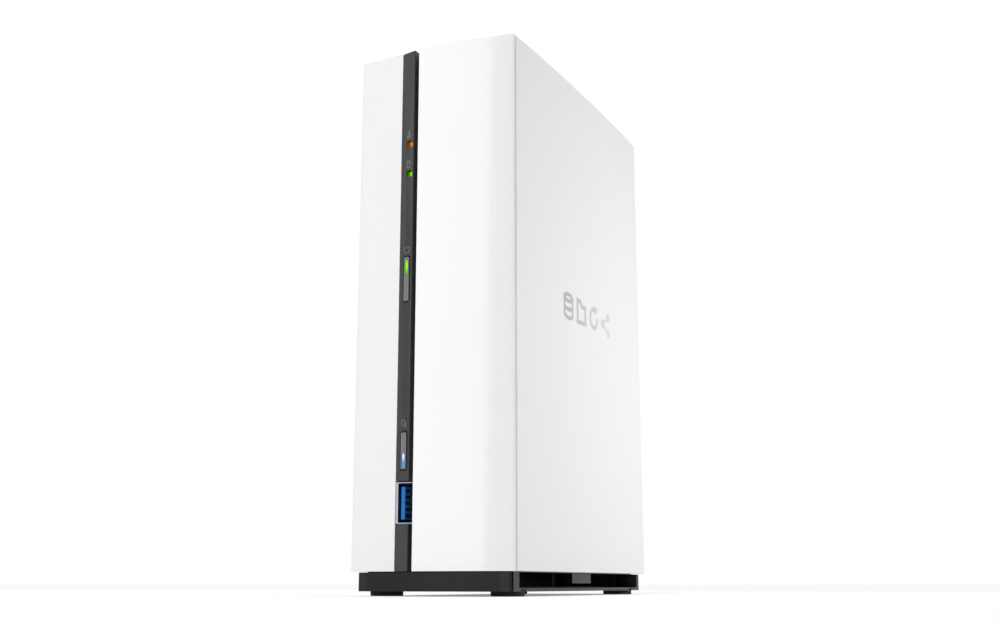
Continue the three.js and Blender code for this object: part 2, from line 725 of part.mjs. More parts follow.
function fanLead() {
  const path = new THREE.CatmullRomCurve3(LEAD_ROUTE.map((p) => new THREE.Vector3(...p)));
  const section = new THREE.Shape();
  section.absarc(0, 0, 1.1, 0, 2 * Math.PI);
  const sweep = { steps: 24, curveSegments: 4, extrudePath: path, bevelEnabled: false };
  return solid(new THREE.ExtrudeGeometry(section, sweep));
}

// ---------------------------------------------------------------- the chassis, tray and drive

const WALL_TOP_Z = 172;
const WINDOW_HEIGHT = 16; // of each cooling window in the sheet metal
const BOARD_SCREWS = [
  [-8, 20],
  [-44, 160],
  [34, 112],
];

function chassis() {
  const floor = block(-26.4, 26.4, -55.6, 47.6, CHASSIS_FLOOR_Z, CHASSIS_FLOOR_Z + SHEET);
  const upright = block(CHASSIS_X, CHASSIS_X + SHEET, -54, 47, CHASSIS_FLOOR_Z, WALL_TOP_Z);
  const stiffener = block(CHASSIS_X, CHASSIS_X + 9, -54, -53.2, CHASSIS_FLOOR_Z, 13.6);
  const standoffs = BOARD_SCREWS.map(([y, z]) => barX(y, z, 2.6, BOARD_RIGHT_X + 0.1, CHASSIS_X + 0.3, 12));
  const drillings = BOARD_SCREWS.map(([y, z]) => barX(y, z, 1.45, BOARD_RIGHT_X - 1, CHASSIS_X + 3, 12));
  const plugWindow = block(-3, 2, 2, 50, CHASSIS_FLOOR_Z + SHEET + 0.6, 30);
  const coolingWindows = [50, 82, 114].flatMap((z) => [
    block(-3, 2, -42, -12, z, z + WINDOW_HEIGHT),
    block(-3, 2, -4, 26, z, z + WINDOW_HEIGHT),
  ]);
  const floorVents = [-42, -28, -14, 0, 14, 28].flatMap((y) => [
    block(-19, -6, y, y + 8, 10, 14),
    block(4, 19, y, y + 8, 10, 14),
  ]);
  const screwHoles = BASE_SCREW_Y.map((y) => barZ(0, y, 1.75, 10, 13.4, 12));
  const recess = block(-3, 2, -49, -43, CHASSIS_FLOOR_Z + SHEET + 0.1, 15);
  return cut(
    joined(floor, upright, stiffener, ...standoffs),
    ...drillings,
    plugWindow,
    ...coolingWindows,
    ...floorVents,
    ...screwHoles,
    recess,
  );
}

function boardScrew(y, z) {
  return joined(
    barX(y, z, 2.7, BOARD_LEFT_X - 1.6, BOARD_LEFT_X - 0.1, 14),
    barX(y, z, 1.3, BOARD_LEFT_X - 0.5, CHASSIS_X - 0.2, 10),
  );
}

const FLANGE_FRONT_Y = DRIVE.y - 0.4;
const FLANGE_REAR_Y = DRIVE.y + DRIVE.wide + 0.4;
const DRIVE_SCREW_HEIGHTS = [DRIVE.z + 28.5, DRIVE.z + 130.1];
const DRIVE_SCREW_X = DRIVE.x + 6.35;

// The tray: a web behind the drive and a flange along each of its long edges.
function driveTray() {
  const z0 = 15;
  const z1 = 174;
  const web = block(-0.1, 0.65, FLANGE_FRONT_Y - SHEET, FLANGE_REAR_Y + SHEET, z0, z1);
  const front = block(-0.1, 17, FLANGE_FRONT_Y - SHEET, FLANGE_FRONT_Y, z0, z1);
  const rear = block(-0.1, 17, FLANGE_REAR_Y, FLANGE_REAR_Y + SHEET, z0, z1);
  const handle = block(0, 20, -20, 20, z1 - SHEET, z1);
  const plugWindow = block(-3, 2, 1, 51, z0 - 1, 31);
  const lightening = [44, 76, 108, 140].map((z) => block(-3, 2, -36, 30, z, z + WINDOW_HEIGHT));
  const notches = [80, 118].flatMap((z) => [
    block(8, 18, -60, -54, z, z + WINDOW_HEIGHT),
    block(8, 18, 46, 52, z, z + WINDOW_HEIGHT),
  ]);
  const holes = DRIVE_SCREW_HEIGHTS.flatMap((z) => [
    barY(DRIVE_SCREW_X, z, 1.9, -60, -53, 12),
    barY(DRIVE_SCREW_X, z, 1.9, 46, 52, 12),
  ]);
  return cut(joined(web, front, rear, handle), plugWindow, ...lightening, ...notches, ...holes);
}

function driveCasting() {
  const x1 = DRIVE.x + DRIVE.thick;
  const body = block(DRIVE.x + 1.5, x1 - 1.3, DRIVE.y, DRIVE.y + DRIVE.wide, DRIVE.z, DRIVE.z + DRIVE.tall);
  const plugRecess = block(0, 8, 4, 48, DRIVE.z - 1, DRIVE.z + 7);
  const tappings = DRIVE_SCREW_HEIGHTS.flatMap((z) => [
    barY(DRIVE_SCREW_X, z, 1.8, -60, -49, 12),
    barY(DRIVE_SCREW_X, z, 1.8, 43, 52, 12),
  ]);
  const sideSteps = [-1, 1].map((side) => {
    const edge = side < 0 ? DRIVE.y : DRIVE.y + DRIVE.wide;
    const y = [edge, edge - side * 2.4].sort((a, b) => a - b);
    return block(x1 - 6.5, x1, y[0] - 0.1, y[1] + 0.1, DRIVE.z + 40, DRIVE.z + 118);
  });
  return cut(body, plugRecess, ...tappings, ...sideSteps);
}

function driveLid() {
  const x1 = DRIVE.x + DRIVE.thick;
  const shape = roundedRectangle(
    DRIVE.y + DRIVE.wide / 2,
    DRIVE.z + DRIVE.tall / 2 + 3,
    DRIVE.wide - 6,
    DRIVE.tall - 12,
    6,
  );
  return prismX(shape, x1 - 1.2, x1);
}

function driveBoard() {
  return block(DRIVE.x + 0.1, DRIVE.x + 1.4, DRIVE.y + 6, DRIVE.y + 96, DRIVE.z + 8, DRIVE.z + 70);
}

function driveScrew(z, outward) {
  const flangeY = outward < 0 ? FLANGE_FRONT_Y - SHEET : FLANGE_REAR_Y + SHEET;
  const headY = [flangeY + outward * 0.1, flangeY + outward * 0.7].sort((a, b) => a - b);
  const shankY = [flangeY + outward * 0.3, flangeY - outward * 5].sort((a, b) => a - b);
  return joined(
    barY(DRIVE_SCREW_X, z, 3.2, headY[0], headY[1], 16),
    barY(DRIVE_SCREW_X, z, 1.55, shankY[0], shankY[1], 12),
  );
}

// ---------------------------------------------------------------- the main board

function mainBoard() {
  const plan = outline([
    [BOARD_FRONT_Y, BOARD_BOTTOM_Z],
    [53, BOARD_BOTTOM_Z],
    [53, 98],
    [43, 108],
    [43, 118],
    [40, 122],
    [40, 166],
    [BOARD_FRONT_Y, 166],
  ]);
  const holes = BOARD_SCREWS.map(([y, z]) => barX(y, z, 1.6, -10, 0, 12));
  return cut(prismX(plan, BOARD_LEFT_X, BOARD_RIGHT_X), ...holes);
}

const chip = (y, z, wide, tall, thick) =>
  block(PART_FACE_X - thick, PART_FACE_X, y - wide / 2, y + wide / 2, z - tall / 2, z + tall / 2);

const PROCESSOR = { y: 4, z: 84, size: 21, thick: 1.4 };

const processor = () => chip(PROCESSOR.y, PROCESSOR.z, PROCESSOR.size, PROCESSOR.size, PROCESSOR.thick);

// Upright fins on a plate, so that air rises between them.
function heatSink() {
  const baseX = PART_FACE_X - PROCESSOR.thick - 0.15;
  const rootX = baseX - 2.4;
  const tipX = baseX - 13;
  const half = 19;
  const points = [
    [baseX, PROCESSOR.y - half],
    [baseX, PROCESSOR.y + half],
  ];
  const fins = 9;
  const pitch = (2 * half - 1.4) / (fins - 1);
  for (let i = fins - 1; i >= 0; i -= 1) {
    const y = PROCESSOR.y - half + 0.7 + i * pitch;
    points.push([rootX, y + 0.7], [tipX, y + 0.5], [tipX, y - 0.5], [rootX, y - 0.7]);
  }
  const tidy = points.filter(([x, y], i) => i < 2 || Math.abs(y - PROCESSOR.y) <= half || x < rootX);
  return prismZ(outline(tidy.reverse()), PROCESSOR.z - half, PROCESSOR.z + half);
}

function lanJack() {
  const x0 = PART_FACE_X - LAN_JACK.wide;
  const body = block(x0, PART_FACE_X, LAN_JACK.y0, REAR_OUTER_Y, LAN_JACK_Z - 8, LAN_JACK_Z + 8);
  const socket = block(x0 + 2.6, x0 + 10.4, 49, 70, LAN_JACK_Z - 5.9, LAN_JACK_Z + 5.9);
  const latch = block(x0 + 10, x0 + 12.4, 49, 70, LAN_JACK_Z - 3.1, LAN_JACK_Z + 3.1);
  return cut(body, socket, latch);
}

function powerJack() {
  const x0 = PART_FACE_X - POWER_JACK.wide;
  const x = x0 + POWER_JACK.wide / 2;
  const half = POWER_JACK.tall / 2;
  const [z0, z1] = [POWER_JACK_Z - half, POWER_JACK_Z + half];
  const body = block(x0, PART_FACE_X, POWER_JACK.y0, REAR_OUTER_Y, z0, z1);
  const bore = barY(x, POWER_JACK_Z, POWER_JACK.bore, POWER_JACK.y0 + 4, 70, 24);
  const pin = barY(x, POWER_JACK_Z, POWER_JACK.pin, POWER_JACK.y0 + 2, REAR_OUTER_Y - 0.8, 12);
  return joined(cut(body, bore), pin);
}

function sataConnector() {
  const body = block(BOARD_RIGHT_X + 0.1, 6.2, 6, 46, 14.4, 20);
  const blade = block(2.4, 3.8, 8, 44, 19.5, 28.5);
  return joined(body, blade);
}

const COIN_CELL = { y: -24, z: 40, radius: 10 };

function coinCellHolder() {
  const { y, z, radius } = COIN_CELL;
  const cup = barX(y, z, radius + 1.6, PART_FACE_X - 4.6, PART_FACE_X, 28);
  const seat = barX(y, z, radius + 0.2, PART_FACE_X - 6, PART_FACE_X - 1.2, 28);
  const gap = block(-15, PART_FACE_X - 1.2, y - 5, y + 5, z + radius - 2, z + radius + 4);
  return cut(cup, seat, gap);
}

const coinCell = () =>
  barX(COIN_CELL.y, COIN_CELL.z, COIN_CELL.radius, PART_FACE_X - 4.5, PART_FACE_X - 1.3, 28);

// The reset button's cap lies behind its pin hole, in line with a switch on the board's rear edge.
const resetButton = () => barY(STRIP_AXIS_X, RESET_Z, 1.6, 56.2, REAR_INNER_Y - GAP, 14);
const resetSwitch = () => block(-11.8, PART_FACE_X, 50.4, 54.6, RESET_Z - 3.1, RESET_Z + 3.1);

// ---------------------------------------------------------------- the cover's captive screw

function thumbscrew() {
  const sides = 20;
  const shape = new THREE.Shape();
  for (let i = 0; i < 2 * sides; i += 1) {
    const angle = (i / (2 * sides)) * 2 * Math.PI;
    const radius = i % 2 ? 3.55 : 3.85;
    const [x, z] = [radius * Math.cos(angle), THUMBSCREW_Z + radius * Math.sin(angle)];
    if (i === 0) shape.moveTo(x, z);
    else shape.lineTo(x, z);
  }
  const head = prismY(shape, TAB.y1 + 0.25, HALF_DEPTH - 0.3);
  const slot = block(-2.6, 2.6, HALF_DEPTH - 1.3, HALF_DEPTH, THUMBSCREW_Z - 0.5, THUMBSCREW_Z + 0.5);
  const shank = barY(0, THUMBSCREW_Z, 1.5, 51.5, TAB.y1 + 1, 16);
  return joined(cut(head, slot), shank);
}

// ---------------------------------------------------------------- assembly

const nas = new THREE.Group();

function add(name, manifold, finish) {
  const mesh = new THREE.Mesh(geometryOf(manifold), finish);
  mesh.name = name;
  nas.add(mesh);
}

// Outer shell.
add("outer_cover", outerCover(), SATIN_WHITE);
add("cover_thumbscrew", thumbscrew(), STEEL);
add("wing_left", wingLeft(), GLOSS_WHITE);
add("wing_right", wingRight(), GLOSS_WHITE);
add("front_frame", frontFrame(), SATIN_BLACK);

// Control strip.
const POWER_LENS = { z: POWER_BUTTON_Z + 3.9, tall: 5.2 };
const COPY_LENS = { z: COPY_BUTTON_Z - 3.1, tall: 4.5 };
add("front_strip", frontStrip(), SATIN_BLACK);
add("lan_light_pipe", lightPipe(LAN_LIGHT_Z), AMBER);
add("drive_light_pipe", lightPipe(DRIVE_LIGHT_Z), GREEN);
add("power_button_cap", buttonCap(POWER_BUTTON_Z, POWER_CAP, POWER_LENS.z, POWER_LENS.tall), SMOKED_GREY);
add("power_button_lens", buttonLens(POWER_LENS.z, POWER_LENS.tall), GREEN);
add("copy_button_cap", buttonCap(COPY_BUTTON_Z, COPY_CAP, COPY_LENS.z, COPY_LENS.tall), SMOKED_GREY);
add("copy_button_lens", buttonLens(COPY_LENS.z, COPY_LENS.tall), BLUE);
add("power_switch", switchBody(POWER_BUTTON_Z), CHIP_BLACK);
add("power_switch_plunger", switchPlunger(POWER_BUTTON_Z), CONNECTOR_IVORY);
add("copy_switch", switchBody(COPY_BUTTON_Z), CHIP_BLACK);
add("copy_switch_plunger", switchPlunger(COPY_BUTTON_Z), CONNECTOR_IVORY);
add("front_usb_shell", usbShell(FRONT_USB_Z, USB.mouthY, USB.backY), STEEL);
add("front_usb_tongue", usbTongue(FRONT_USB_Z, USB.mouthY, USB.backY), USB_BLUE);

// Base.
add("base", base(), SATIN_BLACK);
feetPlaces().forEach(([name, x, y]) => add(name, foot(x, y), RUBBER));
add("base_screw_front", baseScrew(BASE_SCREW_Y[0]), STEEL);
add("base_screw_rear", baseScrew(BASE_SCREW_Y[1]), STEEL);

// Rear panel and fan.
add("rear_panel", rearPanel(), GRILLE_BLACK);
add("reset_button", resetButton(), CONNECTOR_IVORY);
add("reset_switch", resetSwitch(), CHIP_BLACK);
add("fan_frame", fanFrame(), DEEP_BLACK);
add("fan_rotor", fanRotor(), DEEP_BLACK);
add("fan_lead", fanLead(), DEEP_BLACK);
add("fan_header", chip(30, 106, 8, 5, 5.5), CONNECTOR_IVORY);
fanScrewPlaces().forEach(([x, z], i) => add(`fan_screw_${i + 1}`, fanScrew(x, z), STEEL));

// Chassis, tray and drive.
add("chassis", chassis(), STEEL);
add("drive_tray", driveTray(), STEEL);
add("drive_casting", driveCasting(), ALUMINIUM);
add("drive_lid", driveLid(), STEEL);
add("drive_board", driveBoard(), CIRCUIT_GREEN);
DRIVE_SCREW_HEIGHTS.forEach((z, i) => {
  add(`drive_screw_front_${i + 1}`, driveScrew(z, -1), STEEL);
  add(`drive_screw_rear_${i + 1}`, driveScrew(z, 1), STEEL);
});

// Main board.
add("main_board", mainBoard(), CIRCUIT_GREEN);
BOARD_SCREWS.forEach(([y, z], i) => add(`board_screw_${i + 1}`, boardScrew(y, z), STEEL));
add("processor", processor(), CHIP_BLACK);
add("heat_sink", heatSink(), ALUMINIUM);
add("memory_chip_1", chip(-22, 118, 9, 13, 1.2), CHIP_BLACK);
add("memory_chip_2", chip(-8, 118, 9, 13, 1.2), CHIP_BLACK);
add("lan_jack", lanJack(), STEEL);
add("rear_usb_shell", usbShell(REAR_USB_Z, REAR_OUTER_Y, 44), STEEL);
add("rear_usb_tongue", usbTongue(REAR_USB_Z, REAR_OUTER_Y, 44), DEEP_BLACK);
add("power_jack", powerJack(), CHIP_BLACK);
add("sata_connector", sataConnector(), CHIP_BLACK);
add("coin_cell_holder", coinCellHolder(), CHIP_BLACK);
add("coin_cell", coinCell(), STEEL);

export default nas;
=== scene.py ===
"""One-bay network attached storage: the looks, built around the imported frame.

Lengths in this script are millimetres unless a name says otherwise; MM turns them into Blender's metres.
"""

import json
import math
import random

import bmesh
import bpy
from mathutils import Matrix, Vector


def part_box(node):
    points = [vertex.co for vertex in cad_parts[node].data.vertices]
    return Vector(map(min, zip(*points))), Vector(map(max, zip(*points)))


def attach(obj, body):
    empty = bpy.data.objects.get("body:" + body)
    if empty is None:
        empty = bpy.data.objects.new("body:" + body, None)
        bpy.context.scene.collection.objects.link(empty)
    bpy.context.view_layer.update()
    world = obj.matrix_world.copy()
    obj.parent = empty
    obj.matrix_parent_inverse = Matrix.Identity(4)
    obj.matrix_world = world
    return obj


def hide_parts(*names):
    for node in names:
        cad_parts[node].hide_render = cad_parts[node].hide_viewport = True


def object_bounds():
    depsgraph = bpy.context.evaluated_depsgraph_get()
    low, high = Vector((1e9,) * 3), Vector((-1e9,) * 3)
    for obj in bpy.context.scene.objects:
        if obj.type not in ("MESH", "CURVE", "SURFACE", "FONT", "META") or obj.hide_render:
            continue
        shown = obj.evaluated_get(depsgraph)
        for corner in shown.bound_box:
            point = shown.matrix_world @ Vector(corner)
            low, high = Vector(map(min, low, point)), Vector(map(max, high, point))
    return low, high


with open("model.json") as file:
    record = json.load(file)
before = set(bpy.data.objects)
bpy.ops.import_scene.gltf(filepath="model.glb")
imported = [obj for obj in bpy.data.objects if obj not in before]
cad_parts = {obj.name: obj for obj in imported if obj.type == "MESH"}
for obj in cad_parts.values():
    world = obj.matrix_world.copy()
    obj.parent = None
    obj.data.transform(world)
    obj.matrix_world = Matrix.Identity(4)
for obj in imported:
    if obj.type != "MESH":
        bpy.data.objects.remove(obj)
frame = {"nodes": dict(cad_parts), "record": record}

MM = 0.001
CAD_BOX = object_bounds()
HALF_WIDTH = CAD_BOX[1].x / MM
HALF_DEPTH = CAD_BOX[1].y / MM
HEIGHT = CAD_BOX[1].z / MM

# The front bulges forward between its corners, and the top drops from its middle to its ends.
FRONT_BULGE = 3.5
CROWN = 1.3
CORNER_Y = -HALF_DEPTH + FRONT_BULGE
SEAM_Y = CORNER_Y + 0.9

# The ends of the control strip's slanted face, in plan.
FACET_LEFT = Vector((-12.2, CORNER_Y - 1.65, 0))
FACET_RIGHT = Vector((-7.05, CORNER_Y - 2.89, 0))

PRINT_DEPTH = 0.03


def box_mm(node):
    low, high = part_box(node)
    return low / MM, high / MM


def centre_mm(node):
    low, high = box_mm(node)
    return (low + high) / 2


SHELL_BOTTOM = box_mm("outer_cover")[0].z
REAR_OUTER_Y = box_mm("rear_panel")[1].y
STRIP_AXIS_X = centre_mm("power_button_cap").x


def top_height(y):
    """The height of the arched top at the depth y."""
    return HEIGHT - CROWN * (y / HALF_DEPTH) ** 2


def facet_y(x):
    """The depth of the control strip's slanted face at x."""
    share = (x - FACET_LEFT.x) / (FACET_RIGHT.x - FACET_LEFT.x)
    return FACET_LEFT.y + share * (FACET_RIGHT.y - FACET_LEFT.y)


# ---------------------------------------------------------------- mesh helpers


def link_mesh(name, bm):
    mesh = bpy.data.meshes.new(name)
    bm.to_mesh(mesh)
    bm.free()
    obj = bpy.data.objects.new(name, mesh)
    bpy.context.scene.collection.objects.link(obj)
    return obj


def to_object(name, bm):
    """Turns a bmesh in millimetres into an object in metres."""
    bmesh.ops.remove_doubles(bm, verts=bm.verts, dist=1e-4)
    bmesh.ops.recalc_face_normals(bm, faces=bm.faces)
    bmesh.ops.scale(bm, vec=(MM, MM, MM), verts=bm.verts)
    return link_mesh(name, bm)


def joined(name, objects):
    """Puts the meshes of several objects into one."""
    bm = bmesh.new()
    for obj in objects:
        bm.from_mesh(obj.data)
        bpy.data.objects.remove(obj)
    return link_mesh(name, bm)


def bevel_edges(obj, width, segments, angle):
    """Rounds the edges sharper than angle with modifiers, and evens out the shading."""
    bevel = obj.modifiers.new("round_edges", "BEVEL")
    bevel.width = width * MM
    bevel.segments = segments
    bevel.limit_method = "ANGLE"
    bevel.angle_limit = math.radians(angle)
    obj.modifiers.new("even_shading", "WEIGHTED_NORMAL").weight = 60


def round_edges(obj, width, segments=2, angle=30):
    """Rounds a new piece's edges and shades it smooth."""
    bevel_edges(obj, width, segments, angle)
    obj.data.shade_smooth()
    return obj


def clean_cad(obj, width):
    """Rounds a CAD node's edges with modifiers, leaving its own mesh as it is."""
    weld = obj.modifiers.new("weld", "WELD")
    weld.merge_threshold = 1e-6
    flatten = obj.modifiers.new("merge_flat_faces", "DECIMATE")
    flatten.decimate_type = "DISSOLVE"
    flatten.angle_limit = math.radians(0.5)
    bevel_edges(obj, width, 2, 25)


def finish_piece(obj, body, material, replaces=()):
    """Gives a new piece its material, its body and the CAD nodes that it stands for."""
    obj.data.materials.clear()
    obj.data.materials.append(M[material])
    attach(obj, body)
    if replaces:
        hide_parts(*replaces)
    return obj


def rounded_piece(name, bm, edge, material, segments=2):
    """Makes a bmesh into a piece of the chassis with rounded edges."""
    finish_piece(round_edges(to_object(name, bm), edge, segments), "chassis", material)


def add_block(bm, x, y, z):
    """Adds a block to bm, between the pairs x, y and z."""
    place = Matrix.Translation((sum(x) / 2, sum(y) / 2, sum(z) / 2))
    size = Matrix.Diagonal((abs(x[1] - x[0]), abs(y[1] - y[0]), abs(z[1] - z[0]), 1))
    bmesh.ops.create_cube(bm, size=1, matrix=place @ size)


def bridge(bm, near, far):
    """Adds the faces between two closed rows of vertices."""
    for i in range(len(near)):
        j = (i + 1) % len(near)
        bm.faces.new((near[i], near[j], far[j], far[i]))


def add_prism(bm, points, depth, place):
    """Adds a prism of an outline in its own XY plane, from 0 to depth along its own Z."""
    low = [bm.verts.new(place @ Vector((u, v, 0))) for u, v in points]
    high = [bm.verts.new(place @ Vector((u, v, depth))) for u, v in points]
    bm.faces.new(low)
    bm.faces.new(high)
    bridge(bm, low, high)


def polar(radius, angle, height):
    """The point at a radius, an angle in radians and a height about the Z axis."""
    return Vector((radius * math.cos(angle), radius * math.sin(angle), height))


def add_lathe(bm, profile, place, sides=40):
    """Adds the solid that (radius, height) points sweep about their own Z, from the axis back to it."""
    rings = []
    for radius, height in profile:
        if radius == 0:
            rings.append([bm.verts.new(place @ Vector((0, 0, height)))])
            continue
        angles = (2 * math.pi * i / sides for i in range(sides))
        rings.append([bm.verts.new(place @ polar(radius, angle, height)) for angle in angles])
    for lower, upper in zip(rings, rings[1:]):
        for i in range(sides):
            j = (i + 1) % sides
            below = [lower[i % len(lower)], lower[j % len(lower)]]
            above = [upper[j % len(upper)], upper[i % len(upper)]]
            distinct = list(dict.fromkeys([*below, *above]))
            if len(distinct) > 2:
                bm.faces.new(distinct)


def arc(u, v, radius, start, end, steps=8):
    """Points on an arc about (u, v), with its angles in degrees."""
    angles = [math.radians(start + (end - start) * i / steps) for i in range(steps + 1)]
    return [(u + radius * math.cos(a), v + radius * math.sin(a)) for a in angles]


def rounded_rectangle(u, v, width, height, radius, steps=6):
    half_u = width / 2 - radius
    half_v = height / 2 - radius
    return [
        *arc(u + half_u, v + half_v, radius, 0, 90, steps),
        *arc(u - half_u, v + half_v, radius, 90, 180, steps),
        *arc(u - half_u, v - half_v, radius, 180, 270, steps),
        *arc(u + half_u, v - half_v, radius, 270, 360, steps),
    ]


def rectangle(u, v, width, height):
    return [
        (u + width / 2, v + height / 2),
        (u - width / 2, v + height / 2),
        (u - width / 2, v - height / 2),
        (u + width / 2, v - height / 2),
    ]


def circle(u, v, radius, steps=32):
    return arc(u, v, radius, 0, 360 * (steps - 1) / steps, steps - 1)


def toothed_circle(outer, inner, teeth):
    """A circle about (0, 0) that steps between two radii."""
    points = []
    for i in range(4 * teeth):
        angle = 2 * math.pi * i / (4 * teeth)
        radius = outer if i % 4 < 2 else inner
        points.append((radius * math.cos(angle), radius * math.sin(angle)))
    return points


def closed(points):
    return [*points, points[0]]


def plate(name, outlines, thickness, place, edge=0.1):
    """A flat plate with holes: its face lies in the placement's own XY plane, its thickness below it."""
    curve = bpy.data.curves.new(name, "CURVE")
    curve.dimensions = "2D"
    curve.fill_mode = "BOTH"
    curve.extrude = (thickness / 2 - edge) * MM
    curve.bevel_depth = edge * MM
    curve.bevel_resolution = 2
    curve.offset = -edge * MM
    for points in outlines:
        spline = curve.splines.new("POLY")
        spline.points.add(len(points) - 1)
        spline.use_cyclic_u = True
        for point, (u, v) in zip(spline.points, points):
            point.co = (u * MM, v * MM, 0, 1)
    source = bpy.data.objects.new(name, curve)
    mesh = bpy.data.meshes.new_from_object(source)
    bpy.data.objects.remove(source)
    in_metres = place.copy()
    in_metres.translation = place.translation * MM
    bm = bmesh.new()
    bm.from_mesh(mesh)
    bmesh.ops.remove_doubles(bm, verts=bm.verts, dist=1e-7)
    bmesh.ops.translate(bm, vec=(0, 0, -thickness / 2 * MM), verts=bm.verts)
    bmesh.ops.transform(bm, matrix=in_metres, verts=bm.verts)
    bmesh.ops.recalc_face_normals(bm, faces=bm.faces)
    return link_mesh(name, bm)


def strokes(name, lines, width, place, lift=0.03):
    """Printed line work, a list of points for each line. Later lines stand a little lower than the first."""
    bm = bmesh.new()
    for i, points in enumerate(lines):
        add_ribbon(bm, points, width, lift * (1 - 0.06 * i))
    bmesh.ops.transform(bm, matrix=place, verts=bm.verts)
    return to_object(name, bm)


def add_ribbon(bm, points, width, lift):
    """Adds a thin ribbon of even width along points in the XY plane. It closes if its ends meet."""
    is_loop = points[0] == points[-1]
    path = [Vector(p) for p in (points[:-1] if is_loop else points)]
    count = len(path)
    rows = []
    for i, here in enumerate(path):
        before = path[i - 1] if is_loop or i > 0 else here
        after = path[(i + 1) % count] if is_loop or i < count - 1 else here
        into, out = (here - before).normalized(), (after - here).normalized()
        along = (into + out).normalized()
        stretch = 1 / max(0.5, along.dot(out if out.length else into))
        across = Vector((-along.y, along.x)) * width / 2 * stretch
        left, right = here + across, here - across
        corners = ((left, -lift), (right, -lift), (right, lift), (left, lift))
        rows.append([bm.verts.new((p.x, p.y, z)) for p, z in corners])
    for i in range(count if is_loop else count - 1):
        bridge(bm, rows[i], rows[(i + 1) % count])
    if not is_loop:
        bm.faces.new(rows[0])
        bm.faces.new(rows[-1])


def facing(x_axis, z_axis, at):
    """A placement whose u axis is x_axis and whose face looks along z_axis."""
    x_axis, z_axis = Vector(x_axis).normalized(), Vector(z_axis).normalized()
    turned = Matrix((x_axis, z_axis.cross(x_axis), z_axis)).transposed()
    return Matrix.Translation(at) @ turned.to_4x4()


def facing_front(y):
    return facing((1, 0, 0), (0, -1, 0), (0, y, 0))


def facing_back(y):
    """A plane that looks along +Y: u runs along -X and v along Z."""
    return facing((-1, 0, 0), (0, 1, 0), (0, y, 0))


def facing_right(x):
    """A plane that looks along +X: u runs along Y and v along Z."""
    return facing((0, 1, 0), (1, 0, 0), (x, 0, 0))


def on_facet(z, x=STRIP_AXIS_X):
    """The strip's facet, about a point at the height z: u runs along the facet and v along Z."""
    along = FACET_RIGHT - FACET_LEFT
    return facing(along, along.cross(Vector((0, 0, 1))), (x, facet_y(x), z))


# ---------------------------------------------------------------- materials


